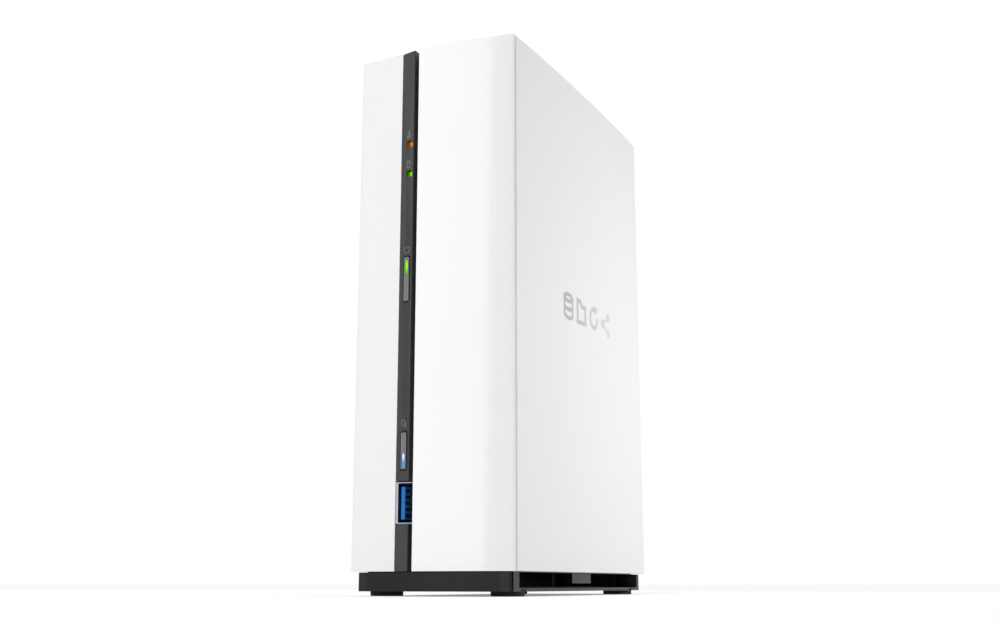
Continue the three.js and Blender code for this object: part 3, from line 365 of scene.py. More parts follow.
class Finish:
    """A Principled material, with the procedural building blocks that the finishes share."""

    def __init__(self, name, color, roughness, metallic=0.0):
        self.material = bpy.data.materials.new(name)
        self.material.use_nodes = True
        tree = self.material.node_tree
        self.nodes = tree.nodes
        self.links = tree.links
        self.shader = self.nodes["Principled BSDF"]
        self.place = self.nodes.new("ShaderNodeTexCoord").outputs["Object"]
        self.color = color
        self.roughness = roughness
        self.set(Base_Color=(*color, 1), Roughness=roughness, Metallic=metallic)

    def set(self, **values):
        for name, value in values.items():
            self.shader.inputs[name.replace("_", " ")].default_value = value
        return self

    def node(self, kind, **settings):
        made = self.nodes.new("ShaderNode" + kind)
        for name, value in settings.items():
            setattr(made, name, value)
        return made

    def math(self, operation, first, second):
        node = self.node("Math", operation=operation)
        for socket, value in zip(node.inputs, (first, second)):
            if isinstance(value, bpy.types.NodeSocket):
                self.links.new(value, socket)
            else:
                socket.default_value = value
        return node.outputs[0]

    def vector_math(self, operation, vector, constant=(0, 0, 0)):
        node = self.node("VectorMath", operation=operation)
        self.links.new(vector, node.inputs[0])
        node.inputs[1].default_value = constant
        return node.outputs

    def noise(self, size, detail, stretch=(1, 1, 1)):
        """Noise with features of about size millimetres, drawn out along the axes by stretch."""
        mapping = self.node("Mapping")
        mapping.inputs["Scale"].default_value = [1 / s for s in stretch]
        self.links.new(self.place, mapping.inputs["Vector"])
        noise = self.node("TexNoise")
        noise.inputs["Scale"].default_value = 1 / (size * MM)
        noise.inputs["Detail"].default_value = detail
        self.links.new(mapping.outputs["Vector"], noise.inputs["Vector"])
        return noise.outputs["Fac"]

    def cells(self, size, output="Distance", metric="EUCLIDEAN", randomness=1.0):
        """Voronoi cells of about size millimetres."""
        texture = self.node("TexVoronoi", distance=metric)
        texture.inputs["Scale"].default_value = 1 / (size * MM)
        texture.inputs["Randomness"].default_value = randomness
        self.links.new(self.place, texture.inputs["Vector"])
        return texture.outputs[output]

    def remap(self, value, low, high, to_low=0.0, to_high=1.0):
        node = self.node("MapRange")
        for name, number in (
            ("From Min", low), ("From Max", high), ("To Min", to_low), ("To Max", to_high),
        ):
            node.inputs[name].default_value = number
        self.links.new(value, node.inputs["Value"])
        return node.outputs["Result"]

    def mix(self, factor, first, second):
        """A colour between first and second, each a colour or a socket."""
        node = self.node("Mix", data_type="RGBA")
        self.links.new(factor, node.inputs["Factor"])
        for socket, value in ((node.inputs[6], first), (node.inputs[7], second)):
            if isinstance(value, bpy.types.NodeSocket):
                self.links.new(value, socket)
            else:
                socket.default_value = (*value, 1)
        return node.outputs[2]

    def feed(self, name, value):
        """Links value to the shader's input of that name."""
        self.links.new(value, self.shader.inputs[name])
        return self

    def field(self, source):
        """A socket as it is, or else the noise that a (size, detail, stretch) in its place asks for."""
        return source if isinstance(source, bpy.types.NodeSocket) else self.noise(*source)

    def tint(self, source, low, high):
        """Varies the base colour between shares of itself."""
        darker = tuple(min(1, c * low) for c in self.color)
        lighter = tuple(min(1, c * high) for c in self.color)
        return self.feed("Base Color", self.mix(self.field(source), darker, lighter))

    def vary_roughness(self, source, spread):
        low = max(0.02, self.roughness - spread)
        high = min(1, self.roughness + spread)
        return self.feed("Roughness", self.remap(self.field(source), 0.3, 0.7, low, high))

    def wear(self, color, amount):
        """Blends towards color along outer edges, by up to amount."""
        pointiness = self.node("NewGeometry").outputs["Pointiness"]
        factor = self.remap(pointiness, 0.53, 0.62, 0, amount)
        source = self.shader.inputs["Base Color"].links
        current = source[0].from_socket if source else self.color
        return self.feed("Base Color", self.mix(factor, current, color))

    def bump(self, source, depth):
        """Raises the surface by up to depth millimetres."""
        node = self.node("Bump")
        node.inputs["Distance"].default_value = depth * MM
        node.inputs["Strength"].default_value = 1
        self.links.new(self.field(source), node.inputs["Height"])
        if self.shader.inputs["Normal"].links:
            self.links.new(self.shader.inputs["Normal"].links[0].from_socket, node.inputs["Normal"])
        return self.feed("Normal", node.outputs["Normal"])


def moulded(name, color, roughness, grain, depth, wear=None):
    """Moulded plastic: a faint change of tone, a fine grain and, if wear is a colour, worn edges."""
    finish = Finish(name, color, roughness)
    finish.tint((38, 3), 0.93, 1.06).vary_roughness((9, 5), 0.05).bump((grain, 3), depth)
    if wear:
        finish.wear(wear, 0.4)
    return finish


def base_black():
    """Black plastic that shines on the outer faces. Inside the vents its reflection is turned down, as
    painted shade that keeps them dark.
    """
    finish = moulded("base_black", (0.005, 0.0049, 0.005), 0.33, 0.3, 0.005, (0.03, 0.03, 0.03))
    place = finish.node("SeparateXYZ")
    finish.links.new(finish.place, place.inputs[0])
    across = finish.math("ABSOLUTE", place.outputs["X"], 0)
    # Painted shade: the reflection falls away from the outer side faces and the front, so the vents' insides
    # stay dark.
    sides = finish.remap(across, 23.5 * MM, 24.3 * MM, 0.03, 0.3)
    front = finish.remap(place.outputs["Y"], -56.5 * MM, -55 * MM, 0.22, 0.03)
    return finish.feed("Specular IOR Level", finish.math("MAXIMUM", sides, front)).material


def gloss_white():
    finish = Finish("gloss_white_plastic", (0.83, 0.832, 0.835), 0.14)
    finish.tint((60, 2), 0.99, 1.008).vary_roughness((14, 4), 0.03).bump((7, 2), 0.0025)
    return finish.bump((0.5, 2), 0.0002).set(Coat_Weight=0.5, Coat_Roughness=0.05).material


def satin_white():
    finish = Finish("satin_white_plastic", (0.8, 0.802, 0.805), 0.42)
    finish.tint((45, 3), 0.985, 1.01).vary_roughness((11, 5), 0.05).bump((0.32, 3), 0.006)
    return finish.material


def rubber():
    finish = Finish("foot_rubber", (0.012, 0.0118, 0.0115), 0.82)
    finish.tint((1.4, 5), 0.7, 1.8).bump((0.25, 4), 0.02)
    return finish.wear((0.06, 0.058, 0.055), 0.6).set(Specular_IOR_Level=0.3).material


def smoked_grey():
    finish = Finish("smoked_grey_plastic", (0.15, 0.151, 0.154), 0.2)
    finish.tint((2.5, 3, (1, 1, 6)), 0.9, 1.12).vary_roughness((1.2, 4), 0.05).bump((0.2, 2), 0.002)
    return finish.wear((0.4, 0.4, 0.4), 0.5).material


def lit_lens(name, node, shift, radius, bright, body, power, far=0.14):
    """A lit lens: brightest at a shift in (x, z) from the middle of a node's front face.

    It fades over radius to the share far of its power.
    """
    middle = centre_mm(node)
    hot_spot = (middle.x + shift[0], box_mm(node)[0].y, middle.z + shift[1])
    finish = Finish(name, tuple(c * 0.3 for c in body), 0.3)
    offset = finish.vector_math("SUBTRACT", finish.place, [c * MM for c in hot_spot])
    squeezed = finish.vector_math("MULTIPLY", offset["Vector"], [1 / (r * MM) for r in radius])
    away = finish.vector_math("LENGTH", squeezed["Vector"])["Value"]
    glow = finish.mix(finish.remap(away, 0.1, 1.0), bright, body)
    finish.feed("Emission Color", glow)
    fade = finish.remap(away, 0.2, 1.5, power, power * far)
    speckle = finish.remap(finish.noise(0.25, 3), 0.3, 0.7, 0.94, 1.06)
    finish.feed("Emission Strength", finish.math("MULTIPLY", fade, speckle))
    return finish.set(Specular_IOR_Level=0.0).material


def plated_steel():
    finish = Finish("zinc_plated_steel", (0.56, 0.57, 0.585), 0.34, 1.0)
    spangle = finish.node("SeparateColor")
    finish.links.new(finish.cells(5.5, "Color"), spangle.inputs[0])
    finish.tint(spangle.outputs[0], 0.9, 1.06).vary_roughness((2.2, 6, (1, 1, 5)), 0.09)
    return finish.bump((0.22, 3, (1, 1, 14)), 0.003).wear((0.75, 0.76, 0.78), 0.5).material


def nickel():
    finish = Finish("nickel_plate", (0.7, 0.68, 0.65), 0.22, 1.0)
    finish.tint((1.6, 4), 0.88, 1.08).vary_roughness((0.8, 5), 0.07).bump((0.3, 3), 0.002)
    return finish.wear((0.9, 0.89, 0.87), 0.5).material


def dull_nickel():
    finish = Finish("dull_nickel", (0.33, 0.325, 0.33), 0.34, 1.0)
    return finish.tint((1.2, 4), 0.8, 1.15).vary_roughness((0.8, 5), 0.08).bump((0.3, 3), 0.002).material


def cast_aluminium():
    finish = Finish("cast_aluminium", (0.36, 0.37, 0.385), 0.46, 1.0)
    finish.tint((8, 5), 0.86, 1.1).vary_roughness((1.6, 5), 0.1).bump((0.45, 4), 0.018)
    return finish.wear((0.66, 0.67, 0.69), 0.6).material


def brushed_lid():
    finish = Finish("brushed_steel_lid", (0.55, 0.555, 0.56), 0.27, 1.0)
    finish.tint((0.5, 5, (1, 30, 1)), 0.93, 1.05).vary_roughness((3, 5), 0.06)
    return finish.bump((0.18, 3, (1, 40, 1)), 0.0022).set(Anisotropic=0.5).material


def circuit_board():
    """Solder resist over copper tracks, with tinned holes."""
    finish = Finish("circuit_board", (0.008, 0.075, 0.034), 0.36)
    fold = finish.math("PINGPONG", finish.cells(3.4, metric="MANHATTAN", randomness=0.9), 0.09)
    copper = finish.remap(fold, 0.04, 0.055)
    board = finish.mix(copper, (0.007, 0.062, 0.028), (0.014, 0.115, 0.05))
    holes = finish.remap(finish.cells(2.6), 0.1, 0.13, 1, 0)
    finish.feed("Base Color", finish.mix(holes, board, (0.5, 0.5, 0.48)))
    return finish.vary_roughness((4, 4), 0.06).bump(copper, 0.02).material


def chip_black():
    finish = Finish("chip_epoxy", (0.016, 0.016, 0.017), 0.5)
    return finish.tint((3, 4), 0.8, 1.3).bump((0.12, 3), 0.006).wear((0.05, 0.05, 0.05), 0.5).material


def speckled(name, color, roughness, metallic=0.0):
    """A small or printed surface: fine changes of tone and a slight texture."""
    finish = Finish(name, color, roughness, metallic)
    return finish.tint((0.6, 4), 0.86, 1.1).vary_roughness((1.1, 4), 0.06).bump((0.12, 2), 0.001).material


def side_print():
    """The silver-grey print on the side, with painted shade that makes it darker at its front end."""
    finish = Finish("silver_print", (0.55, 0.55, 0.55), 0.4)
    along = finish.node("SeparateXYZ")
    finish.links.new(finish.place, along.inputs[0])
    # Painted shade: the print's colour ramps from dark at its front end to light towards the back.
    fade = finish.remap(along.outputs["Y"], -20 * MM, 32 * MM)
    finish.feed("Base Color", finish.mix(fade, (0.42, 0.42, 0.422), (0.66, 0.66, 0.662)))
    return finish.vary_roughness((0.5, 4), 0.06).bump((0.12, 2), 0.0008).material


def satin_black():
    finish = moulded("satin_black", (0.016, 0.0152, 0.0156), 0.4, 0.28, 0.007, (0.08, 0.078, 0.08))
    return finish.material


def usb_blue():
    finish = moulded("usb_blue_plastic", (0.01, 0.17, 0.56), 0.42, 0.3, 0.004)
    return finish.set(Specular_IOR_Level=0.2).material


M = {
    "gloss_white": gloss_white(),
    "satin_white": satin_white(),
    "satin_black": satin_black(),
    "panel_black": moulded("panel_black", (0.018, 0.0172, 0.0176), 0.42, 0.28, 0.007).material,
    "base_black": base_black(),
    "deep_black": moulded("deep_black", (0.011, 0.011, 0.0115), 0.5, 0.4, 0.006, (0.04, 0.04, 0.04)).material,
    "rubber": rubber(),
    "smoked_grey": smoked_grey(),
    "amber_light": lit_lens(
        "amber_lens", "lan_light_pipe", shift=(0.8, 0), radius=(1.1, 3, 1.9),
        bright=(1.0, 0.28, 0.0), body=(0.45, 0.12, 0.0), power=1.35,
    ),
    "green_light": lit_lens(
        "green_lens", "drive_light_pipe", shift=(0.8, 0), radius=(1.1, 3, 1.9),
        bright=(0.3, 1.0, 0.0), body=(0.06, 0.34, 0.0), power=1.35,
    ),
    "power_light": lit_lens(
        "power_lens", "power_button_lens", shift=(0, 0.7), radius=(0.9, 3, 2.8),
        bright=(0.36, 1.0, 0.0), body=(0.09, 0.6, 0.0), power=1.35,
    ),
    "blue_light": lit_lens(
        "copy_lens", "copy_button_lens", shift=(0, 1.3), radius=(0.9, 3, 1.9),
        bright=(0.85, 0.92, 1.0), body=(0.04, 0.34, 1.0), power=1.05, far=0.9,
    ),
    "usb_blue": usb_blue(),
    "steel": plated_steel(),
    "nickel": nickel(),
    "dull_nickel": dull_nickel(),
    "aluminium": cast_aluminium(),
    "lid": brushed_lid(),
    "circuit_green": circuit_board(),
    "chip_black": chip_black(),
    "ivory": moulded("ivory_nylon", (0.72, 0.67, 0.53), 0.45, 0.3, 0.004).material,
    "gold": speckled("gold_contact", (0.86, 0.56, 0.2), 0.25, 1.0),
    "tin": speckled("tinned_contact", (0.62, 0.62, 0.6), 0.3, 1.0),
    "pale_print": speckled("pale_print", (0.23, 0.228, 0.23), 0.55),
    "side_print": side_print(),
    "paper": speckled("paper_label", (0.78, 0.78, 0.76), 0.6),
    "label_band": speckled("label_band", (0.04, 0.13, 0.26), 0.5),
    "ferrite": speckled("ferrite", (0.035, 0.034, 0.034), 0.6),
}


# ---------------------------------------------------------------- CAD nodes that keep their own shape

EDGE_WIDTH = {
    "front_strip": 0.2,
    "base": 0.28,
    "rear_panel": 0.2,
    "fan_frame": 0.25,
    "drive_tray": 0.15,
    "drive_casting": 0.4,
    "main_board": 0.08,
    "front_usb_shell": 0.1,
    "rear_usb_shell": 0.1,
    "lan_jack": 0.2,
    "power_jack": 0.2,
    "coin_cell": 0.25,
}
OWN_FINISH = {
    "base": "base_black",
    "rear_panel": "panel_black",
    "power_button_lens": "power_light",
    "drive_lid": "lid",
    "front_usb_shell": "dull_nickel",
}


def dress_cad_nodes():
    for entry in frame["record"]["subparts"]:
        name = entry["node"]
        node = frame["nodes"][name]
        node.data.materials.clear()
        node.data.materials.append(M[OWN_FINISH.get(name, entry["material_slot"])])
        clean_cad(node, EDGE_WIDTH.get(name, 0.12))


# ---------------------------------------------------------------- the white shell


def bezier(start, middle, end, steps):
    points = []
    for i in range(steps + 1):
        t = i / steps
        a, b, c = (1 - t) ** 2, 2 * t * (1 - t), t ** 2
        points.append(tuple(a * start[k] + b * middle[k] + c * end[k] for k in (0, 1)))
    return points


def arched_prism(name, plan, bottom):
    """A plan outline raised from bottom to the arched top."""
    bm = bmesh.new()
    low = [bm.verts.new((x, y, bottom)) for x, y in plan]
    high = [bm.verts.new((x, y, top_height(y))) for x, y in plan]
    bm.faces.new(low)
    bm.faces.new(high)
    bridge(bm, low, high)
    return to_object(name, bm)


def stepped_corner(x, inward):
    """A wing's outer corner in plan, from its front to its back, with the step that leaves a shadow line."""
    edge, step, step_y = x + 0.1 * inward, x + 0.9 * inward, CORNER_Y + 0.3
    return [(edge, CORNER_Y + 0.1), (edge, step_y), (step, step_y), (step, SEAM_Y)]


def wings():
    """The two curved halves of the front, with a shadow line along the cover's edge."""
    corner = 0.6
    left_low, left_high = box_mm("wing_left")
    right_low, right_high = box_mm("wing_right")
    right_front = bezier(
        (right_low.x, -HALF_DEPTH), (10, -HALF_DEPTH), (right_high.x - corner, CORNER_Y - 0.25), 48,
    )
    left_front = bezier(
        (left_low.x + corner, CORNER_Y - 0.15), (-21, CORNER_Y - 1.1), (left_high.x, CORNER_Y - 1.75), 28,
    )
    right_back = [*stepped_corner(right_high.x, -1), (right_low.x, SEAM_Y)]
    left_back = [(left_high.x, SEAM_Y), *reversed(stepped_corner(left_low.x, 1))]
    for name, plan, node in (
        ("right_front_wing", [*right_front, *right_back], "wing_right"),
        ("left_front_wing", [*left_front, *left_back], "wing_left"),
    ):
        obj = round_edges(arched_prism(name, plan, SHELL_BOTTOM), 0.18, 4)
        finish_piece(obj, "chassis", "gloss_white", [node])


def cover():
    """The cover, lofted along its depth. Its guide lips stop short of both ends."""
    low, high = box_mm("outer_cover")
    side = high.x - PRINT_DEPTH
    wall = 2.2
    lip_inner = 25.3
    lip_top = 9.2
    lip_margin = 4
    stations = 44
    lips_from, lips_to = low.y + lip_margin, high.y - lip_margin
    depths = [low.y + (high.y - low.y) * i / stations for i in range(stations + 1)]
    rows = [(y, lips_from < y < lips_to) for y in depths if min(abs(y - lips_from), abs(y - lips_to)) > 0.3]
    rows += [(lips_from, False), (lips_from, True), (lips_to, True), (lips_to, False)]
    rows.sort(key=lambda row: (row[0], row[1] if row[0] < 0 else not row[1]))
    bm = bmesh.new()
    rings = []
    for y, with_lips in rows:
        top = top_height(y)
        inner = side - wall
        lip_x, lip_z = (lip_inner, lip_top) if with_lips else (inner, low.z)
        outside = [(side, top), (side, low.z)]
        inside = [(lip_x, low.z), (lip_x, lip_z), (inner, lip_z), (inner, top - wall)]
        right = [*outside, *inside]
        left = [(-x, z) for x, z in reversed(right)]
        rings.append([bm.verts.new((x, y, z)) for x, z in [*right, *left]])
    bm.faces.new(rings[0])
    bm.faces.new(rings[-1])
    for near, far in zip(rings, rings[1:]):
        bridge(bm, near, far)
    bmesh.ops.dissolve_degenerate(bm, edges=bm.edges, dist=1e-4)
    obj = round_edges(to_object("sliding_cover", bm), 0.35, 4)
    finish_piece(obj, "cover", "satin_white", ["outer_cover"])


def cover_tab():
    """The tab under the cover's rear edge that the thumbscrew goes through."""
    screw = centre_mm("cover_thumbscrew")
    half, bottom, top, back, corner = 5, 174.8, 184.6, 59, 1.5
    outline = [
        (half, top),
        (-half, top),
        *arc(-half + corner, bottom + corner, corner, 180, 270, 5),
        *arc(half - corner, bottom + corner, corner, 270, 360, 5),
    ]
    hole = circle(-screw.x, screw.z, 1.85)
    obj = plate("cover_screw_tab", [outline, hole], 1.5, facing_back(back), 0.12)
    finish_piece(obj, "cover", "satin_white")


# ---------------------------------------------------------------- marks


def power_symbol():
    return [arc(0, 0, 1.2, 125, 415, 24), [(0, 0.35), (0, 1.35)]]


def network_symbol():
    boxes = [closed(rectangle(x, z, 0.6, 0.7)) for x, z in ((0, 1.2), (-0.62, -1.2), (0.62, -1.2))]
    return [*boxes, [(0, 0.85), (0, 0)], [(-0.62, -0.85), (-0.62, 0), (0.62, 0), (0.62, -0.85)]]


def drive_symbol():
    """A drum: an oval lid, its sides with the front half of the oval under them, and a short dash."""
    oval = [(0.75 * u, 0.35 * v) for u, v in circle(0, 0, 1, 20)]
    lid = [(u, v + 1.1) for u, v in oval]
    belly = [(0.75 * u, 0.35 * v - 1.1) for u, v in arc(0, 0, 1, 180, 360, 10)]
    return [closed(lid), [(-0.75, 1.1), *belly, (0.75, 1.1)], [(0.05, -0.5), (0.35, -0.5)]]


def copy_symbol():
    return [
        closed(rounded_rectangle(-0.3, 0.35, 1.3, 1.8, 0.25, 3)),
        [(0.1, -1.15), (0.95, -1.15), (0.95, 0.5)],
    ]


def direct_current_symbol():
    leads = [[(0.75, 0), (2, 0)], [(-0.75, 0), (-2, 0)]]
    return [closed(circle(0, 0, 0.75, 20)), *leads, arc(0, 0, 1.4, 50, 310, 20)]


def circling_arrow():
    return [arc(0, 0, 1.1, 60, 350, 20), [(0.5, 1.5), (0.55, 0.95), (0.05, 0.7)]]


def plug_symbol():
    return [
        closed(rounded_rectangle(0, 0.4, 1.8, 2, 0.3, 3)),
        [(0, -0.6), (0, -1.7)],
        [(-0.4, 1.4), (-0.4, 2)],
        [(0.4, 1.4), (0.4, 2)],
    ]


def lock_symbol():
    shackle = [(-0.6, 0.3), *arc(0, 0.8, 0.6, 180, 0, 8), (0.6, 0.3)]
    return [closed(rounded_rectangle(0, -0.5, 2, 1.6, 0.2, 3)), shackle]


def small_marks():
    """The strip's and the rear panel's line symbols."""
    on_strip = {
        "network_mark": (network_symbol(), centre_mm("lan_light_pipe").z + 3.5, 0.1, 0.82),
        "drive_mark": (drive_symbol(), centre_mm("drive_light_pipe").z + 3.4, 0.1, 0.86),
        "power_mark": (power_symbol(), box_mm("power_button_cap")[1].z + 1.5, -0.1, 1),
        "copy_mark": (copy_symbol(), box_mm("copy_button_cap")[1].z + 1.7, -0.1, 1),
    }
    for name, (lines, z, shift, size) in on_strip.items():
        place = on_facet(z, STRIP_AXIS_X + shift) @ Matrix.Scale(size, 4)
        obj = strokes(name, lines, 0.18 / size, place)
        finish_piece(obj, "chassis", "pale_print")
    on_rear = {
        "rear_network_mark": (network_symbol(), centre_mm("lan_jack").z),
        "rear_plug_mark": (plug_symbol(), centre_mm("rear_usb_shell").z),
        "rear_supply_mark": (direct_current_symbol(), centre_mm("power_jack").z),
        "rear_reset_mark": (circling_arrow(), centre_mm("reset_button").z),
        "rear_lock_mark": (lock_symbol(), 94),
    }
    for name, (lines, z) in on_rear.items():
        place = facing_back(REAR_OUTER_Y) @ Matrix.Translation((0.9, z, 0)) @ Matrix.Scale(1.35, 4)
        obj = strokes(name, lines, 0.22, place, 0.02)
        finish_piece(obj, "chassis", "pale_print")


def side_marks():
    """Four plain symbols on the right side: a stack of disks, a folder, a turning arrow, linked nodes."""
    first, pitch, height = -13.5, 12.4, 101
    disk = [(3.7 * u, 1.2 * v) for u, v in arc(0, 0, 1, 0, 360, 32)]
    belly = [(u, v - 3.2) for u, v in disk[16:]]
    stack = [
        [(u, v + 3) for u, v in disk],
        [(-3.7, 3), *belly, (3.7, 3)],
        [(u, v - 0.1) for u, v in disk[17:32]],
    ]
    folder = [closed([(-3.8, -3.9), (3.8, -3.9), (3.8, 2.2), (0.4, 2.2), (-0.8, 3.9), (-3.8, 3.9)])]
    arrow = [arc(0, 0, 3.5, 70, 370, 28), [(0.6, 4.9), (1.6, 3), (3.6, 4.2)]]
    links = [[(3, 3.2), (-3, 0), (3, -3.2)]]
    place = facing_right(HALF_WIDTH - PRINT_DEPTH)
    marks = (
        ("disk_mark", stack, 1.5),
        ("folder_mark", folder, 1.7),
        ("arrow_mark", arrow, 1.7),
        ("link_mark", links, 1.2),
    )
    for i, (name, lines, width) in enumerate(marks):
        spot = place @ Matrix.Translation((first + pitch * i, height, 0))
        obj = strokes(name, lines, width, spot, PRINT_DEPTH)
        finish_piece(obj, "cover", "side_print")
    on_top = spot @ Matrix.Translation((0, 0, 0.028))
    dots = [plate("link_mark_node", [circle(u, v, 1.7)], 0.05, on_top, 0.005) for u, v in links[0]]
    finish_piece(joined("link_mark_nodes", dots), "cover", "side_print")


# ---------------------------------------------------------------- lights and sockets


def light_skirts():
    """The thin lip of each light pipe that lines the left wall of its window."""
    for name, node, finish in (
        ("lan_light_lip", "lan_light_pipe", "amber_light"),
        ("drive_light_lip", "drive_light_pipe", "green_light"),
    ):
        middle = centre_mm(node)
        left = middle.x - 1.29
        front = facet_y(left) + 0.15
        bm = bmesh.new()
        add_block(bm, (left, left + 0.13), (front, front + 1.6), (middle.z - 1.05, middle.z + 1.05))
        rounded_piece(name, bm, 0.03, finish)


def usb_contacts(name, inward):
    """Five slots in the tongue, each darkened by a black block of painted shade in front of a contact deep in
    it, and two springs on the shell.
    """
    shell_low, shell_high = box_mm(name + "_shell")
    mouth = shell_low.y if inward > 0 else shell_high.y
    middle = centre_mm(name + "_tongue").z
    slot_floor = shell_low.x + 1.8
    painted_shade_blocks, pads = bmesh.new(), bmesh.new()
    for k in range(-2, 3):
        z = middle + 2 * k
        painted_shade_span = sorted((mouth + inward * 1.45, mouth + inward * 6))
        pad = sorted((mouth + inward * 6, mouth + inward * 11))
        # A thin black block on each slot's floor is painted shade, darkening the slot in front of its
        # contact.
        add_block(painted_shade_blocks, (slot_floor - 0.05, slot_floor + 0.15), painted_shade_span, (z - 0.54, z + 0.54))
        add_block(pads, (slot_floor - 0.05, slot_floor + 0.7), pad, (z - 0.45, z + 0.45))
    rounded_piece(name + "_painted_slot_shade", painted_shade_blocks, 0.03, "deep_black")
    rounded_piece(name + "_contacts", pads, 0.08, "gold")
    bm = bmesh.new()
    for k in (-1, 1):
        y = sorted((mouth + inward * 2.5, mouth + inward * 8))
        z = middle + 3.2 * k
        add_block(bm, (shell_high.x - 0.75, shell_high.x - 0.36), y, (z - 0.9, z + 0.9))
    rounded_piece(name + "_springs", bm, 0.18, "nickel", 3)


def front_usb_mouth():
    """The flared rim of the front socket's shell, and a thin blue block below it."""
    low, high = box_mm("front_usb_shell")
    place = facing_front(low.y - 0.02)
    middle, size = (low + high) / 2, high - low
    outer = rectangle(middle.x - 0.25, middle.z, size.x + 0.5, size.z)
    inner = rectangle(middle.x - 0.07, middle.z, size.x - 0.38, size.z - 0.6)
    rim = plate("front_usb_rim", [outer, inner], 0.35, place, 0.06)
    finish_piece(rim, "chassis", "dull_nickel")
    bm = bmesh.new()
    add_block(bm, (low.x + 0.4, high.x), (low.y + 0.1, low.y + 3), (low.z - 0.28, low.z - 0.03))
    rounded_piece("front_usb_blue_sliver", bm, 0.05, "usb_blue")


def lan_socket():
    """The network jack's black insert, its eight contacts and two lights."""
    low, high = box_mm("lan_jack")
    z = (low.z + high.z) / 2
    place = facing_back(high.y - 0.25)
    outer = rectangle(-(low.x + 6.5), z, 7.5, 11.5)
    inner = rectangle(-(low.x + 6.5), z, 6.5, 10.4)
    insert = plate("lan_jack_insert", [outer, inner], 10.5, place, 0.08)
    finish_piece(insert, "chassis", "chip_black")
    bm = bmesh.new()
    bend = [(1.6, 3.5), (1.4, 3.7), (8.4, 6.4), (8.6, 6.2)]
    wire = [(high.y - back, -(low.x + across)) for back, across in bend]
    for k in range(8):
        at = facing((0, 1, 0), (0, 0, 1), (0, 0, z - 3.6 + 1.02 * k - 0.22))
        add_prism(bm, wire, 0.44, at)
    rounded_piece("lan_jack_contacts", bm, 0.05, "gold")
    for name, side, finish in (
        ("lan_jack_link_light", -1, "green_light"),
        ("lan_jack_speed_light", 1, "amber_light"),
    ):
        shape = rounded_rectangle(-(high.x - 1.25), z + side * 5.4, 1.5, 2.6, 0.3, 4)
        lamp = plate(name, [shape], 0.3, facing_back(high.y + 0.1), 0.08)
        finish_piece(lamp, "chassis", "smoked_grey")


def supply_jack():
    """The DC jack's plated pin and the spring contact in its bore."""
    low, high = box_mm("power_jack")
    middle = (low + high) / 2
    bm = bmesh.new()
    profile = [(0, 0), (1.12, 0), (1.12, 10.6), (0.95, 11.1), (0.5, 11.35), (0, 11.4)]
    outward = facing((1, 0, 0), (0, 1, 0), (middle.x, high.y - 12, middle.z))
    add_lathe(bm, profile, outward, 28)
    add_block(bm, (middle.x + 2.5, middle.x + 3.1), (high.y - 9, high.y - 1.2), (middle.z - 1, middle.z + 1))
    rounded_piece("power_jack_pin", bm, 0.08, "nickel")


# ---------------------------------------------------------------- fasteners and feet


def cross_recess(size):
    arm, half = size, size * 0.2
    return [
        (arm, half), (half, half), (half, arm), (-half, arm), (-half, half), (-arm, half),
        (-arm, -half), (-half, -half), (-half, -arm), (half, -arm), (half, -half), (arm, -half),
    ]


def thread(crest, root, start, end):
    """The crests and roots of a thread of 0.5 mm pitch, as (radius, height) from start down to end."""
    pitch = 0.5
    tops = [-start - pitch * i for i in range(int((end - start) / pitch))]
    return [point for top in tops for point in ((crest, top), (root, top - pitch / 2))]


def cross_head_screw(node, outward):
    """A pan-head screw with a cross recess, in the room that its CAD node takes."""
    low, high = box_mm(node)
    axis = Vector(outward)
    index = [abs(c) for c in axis].index(1)
    radius = max(high[i] - low[i] for i in range(3) if i != index) / 2
    length = high[index] - low[index]
    seat = (low + high) / 2
    seat[index] = high[index] if sum(axis) > 0 else low[index]
    side = (0, 0, 1) if index != 2 else (1, 0, 0)
    place = facing(side, axis, seat)
    cap = plate(node + "_face", [circle(0, 0, radius, 40), cross_recess(radius * 0.55)], 0.42, place, 0.1)
    bm = bmesh.new()
    shank = radius / 2
    flange = [(0, -0.41), (radius * 0.99, -0.41), (radius * 0.99, -0.65), (shank, -0.7)]
    turns = thread(shank, shank * 0.86, 0.9, length - 0.5)
    add_lathe(bm, [*flange, *turns, (shank * 0.6, -length), (0, -length)], place, 28)
    obj = joined(node + "_fine", [cap, to_object(node + "_shaft", bm)])
    obj.data.shade_flat()
    finish_piece(obj, "chassis", "steel", [node])


def fasteners():
    for i in (1, 2, 3, 4):
        cross_head_screw(f"fan_screw_{i}", (0, 1, 0))
    for i in (1, 2):
        cross_head_screw(f"drive_screw_front_{i}", (0, -1, 0))
        cross_head_screw(f"drive_screw_rear_{i}", (0, 1, 0))
    for i in (1, 2, 3):
        cross_head_screw(f"board_screw_{i}", (-1, 0, 0))
    for end in ("front", "rear"):
        cross_head_screw(f"base_screw_{end}", (0, 0, -1))


def thumbscrew():
    """A knurled head with a coin slot, on a threaded shank."""
    low, high = box_mm("cover_thumbscrew")
    middle = (low + high) / 2
    place = facing((-1, 0, 0), (0, 1, 0), (middle.x, high.y, middle.z))
    slot = rectangle(0, 0, 5.4, 1)
    deeper = place @ Matrix.Translation((0, 0, -1.1))
    head = plate("thumbscrew_face", [circle(0, 0, 3.5, 64), slot], 1.15, place, 0.15)
    grip = plate("thumbscrew_grip", [toothed_circle(3.84, 3.6, 36)], 1.75, deeper, 0.12)
    bm = bmesh.new()
    length = high.y - low.y
    turns = thread(1.5, 1.3, 3.1, length - 1.4)
    add_lathe(bm, [(0, -2.8), (1.5, -2.8), *turns, (1, -length), (0, -length)], place, 28)
    shank = to_object("thumbscrew_shank", bm)
    obj = joined("knurled_thumbscrew", [head, grip, shank])
    finish_piece(obj, "thumbscrew", "nickel", ["cover_thumbscrew"])


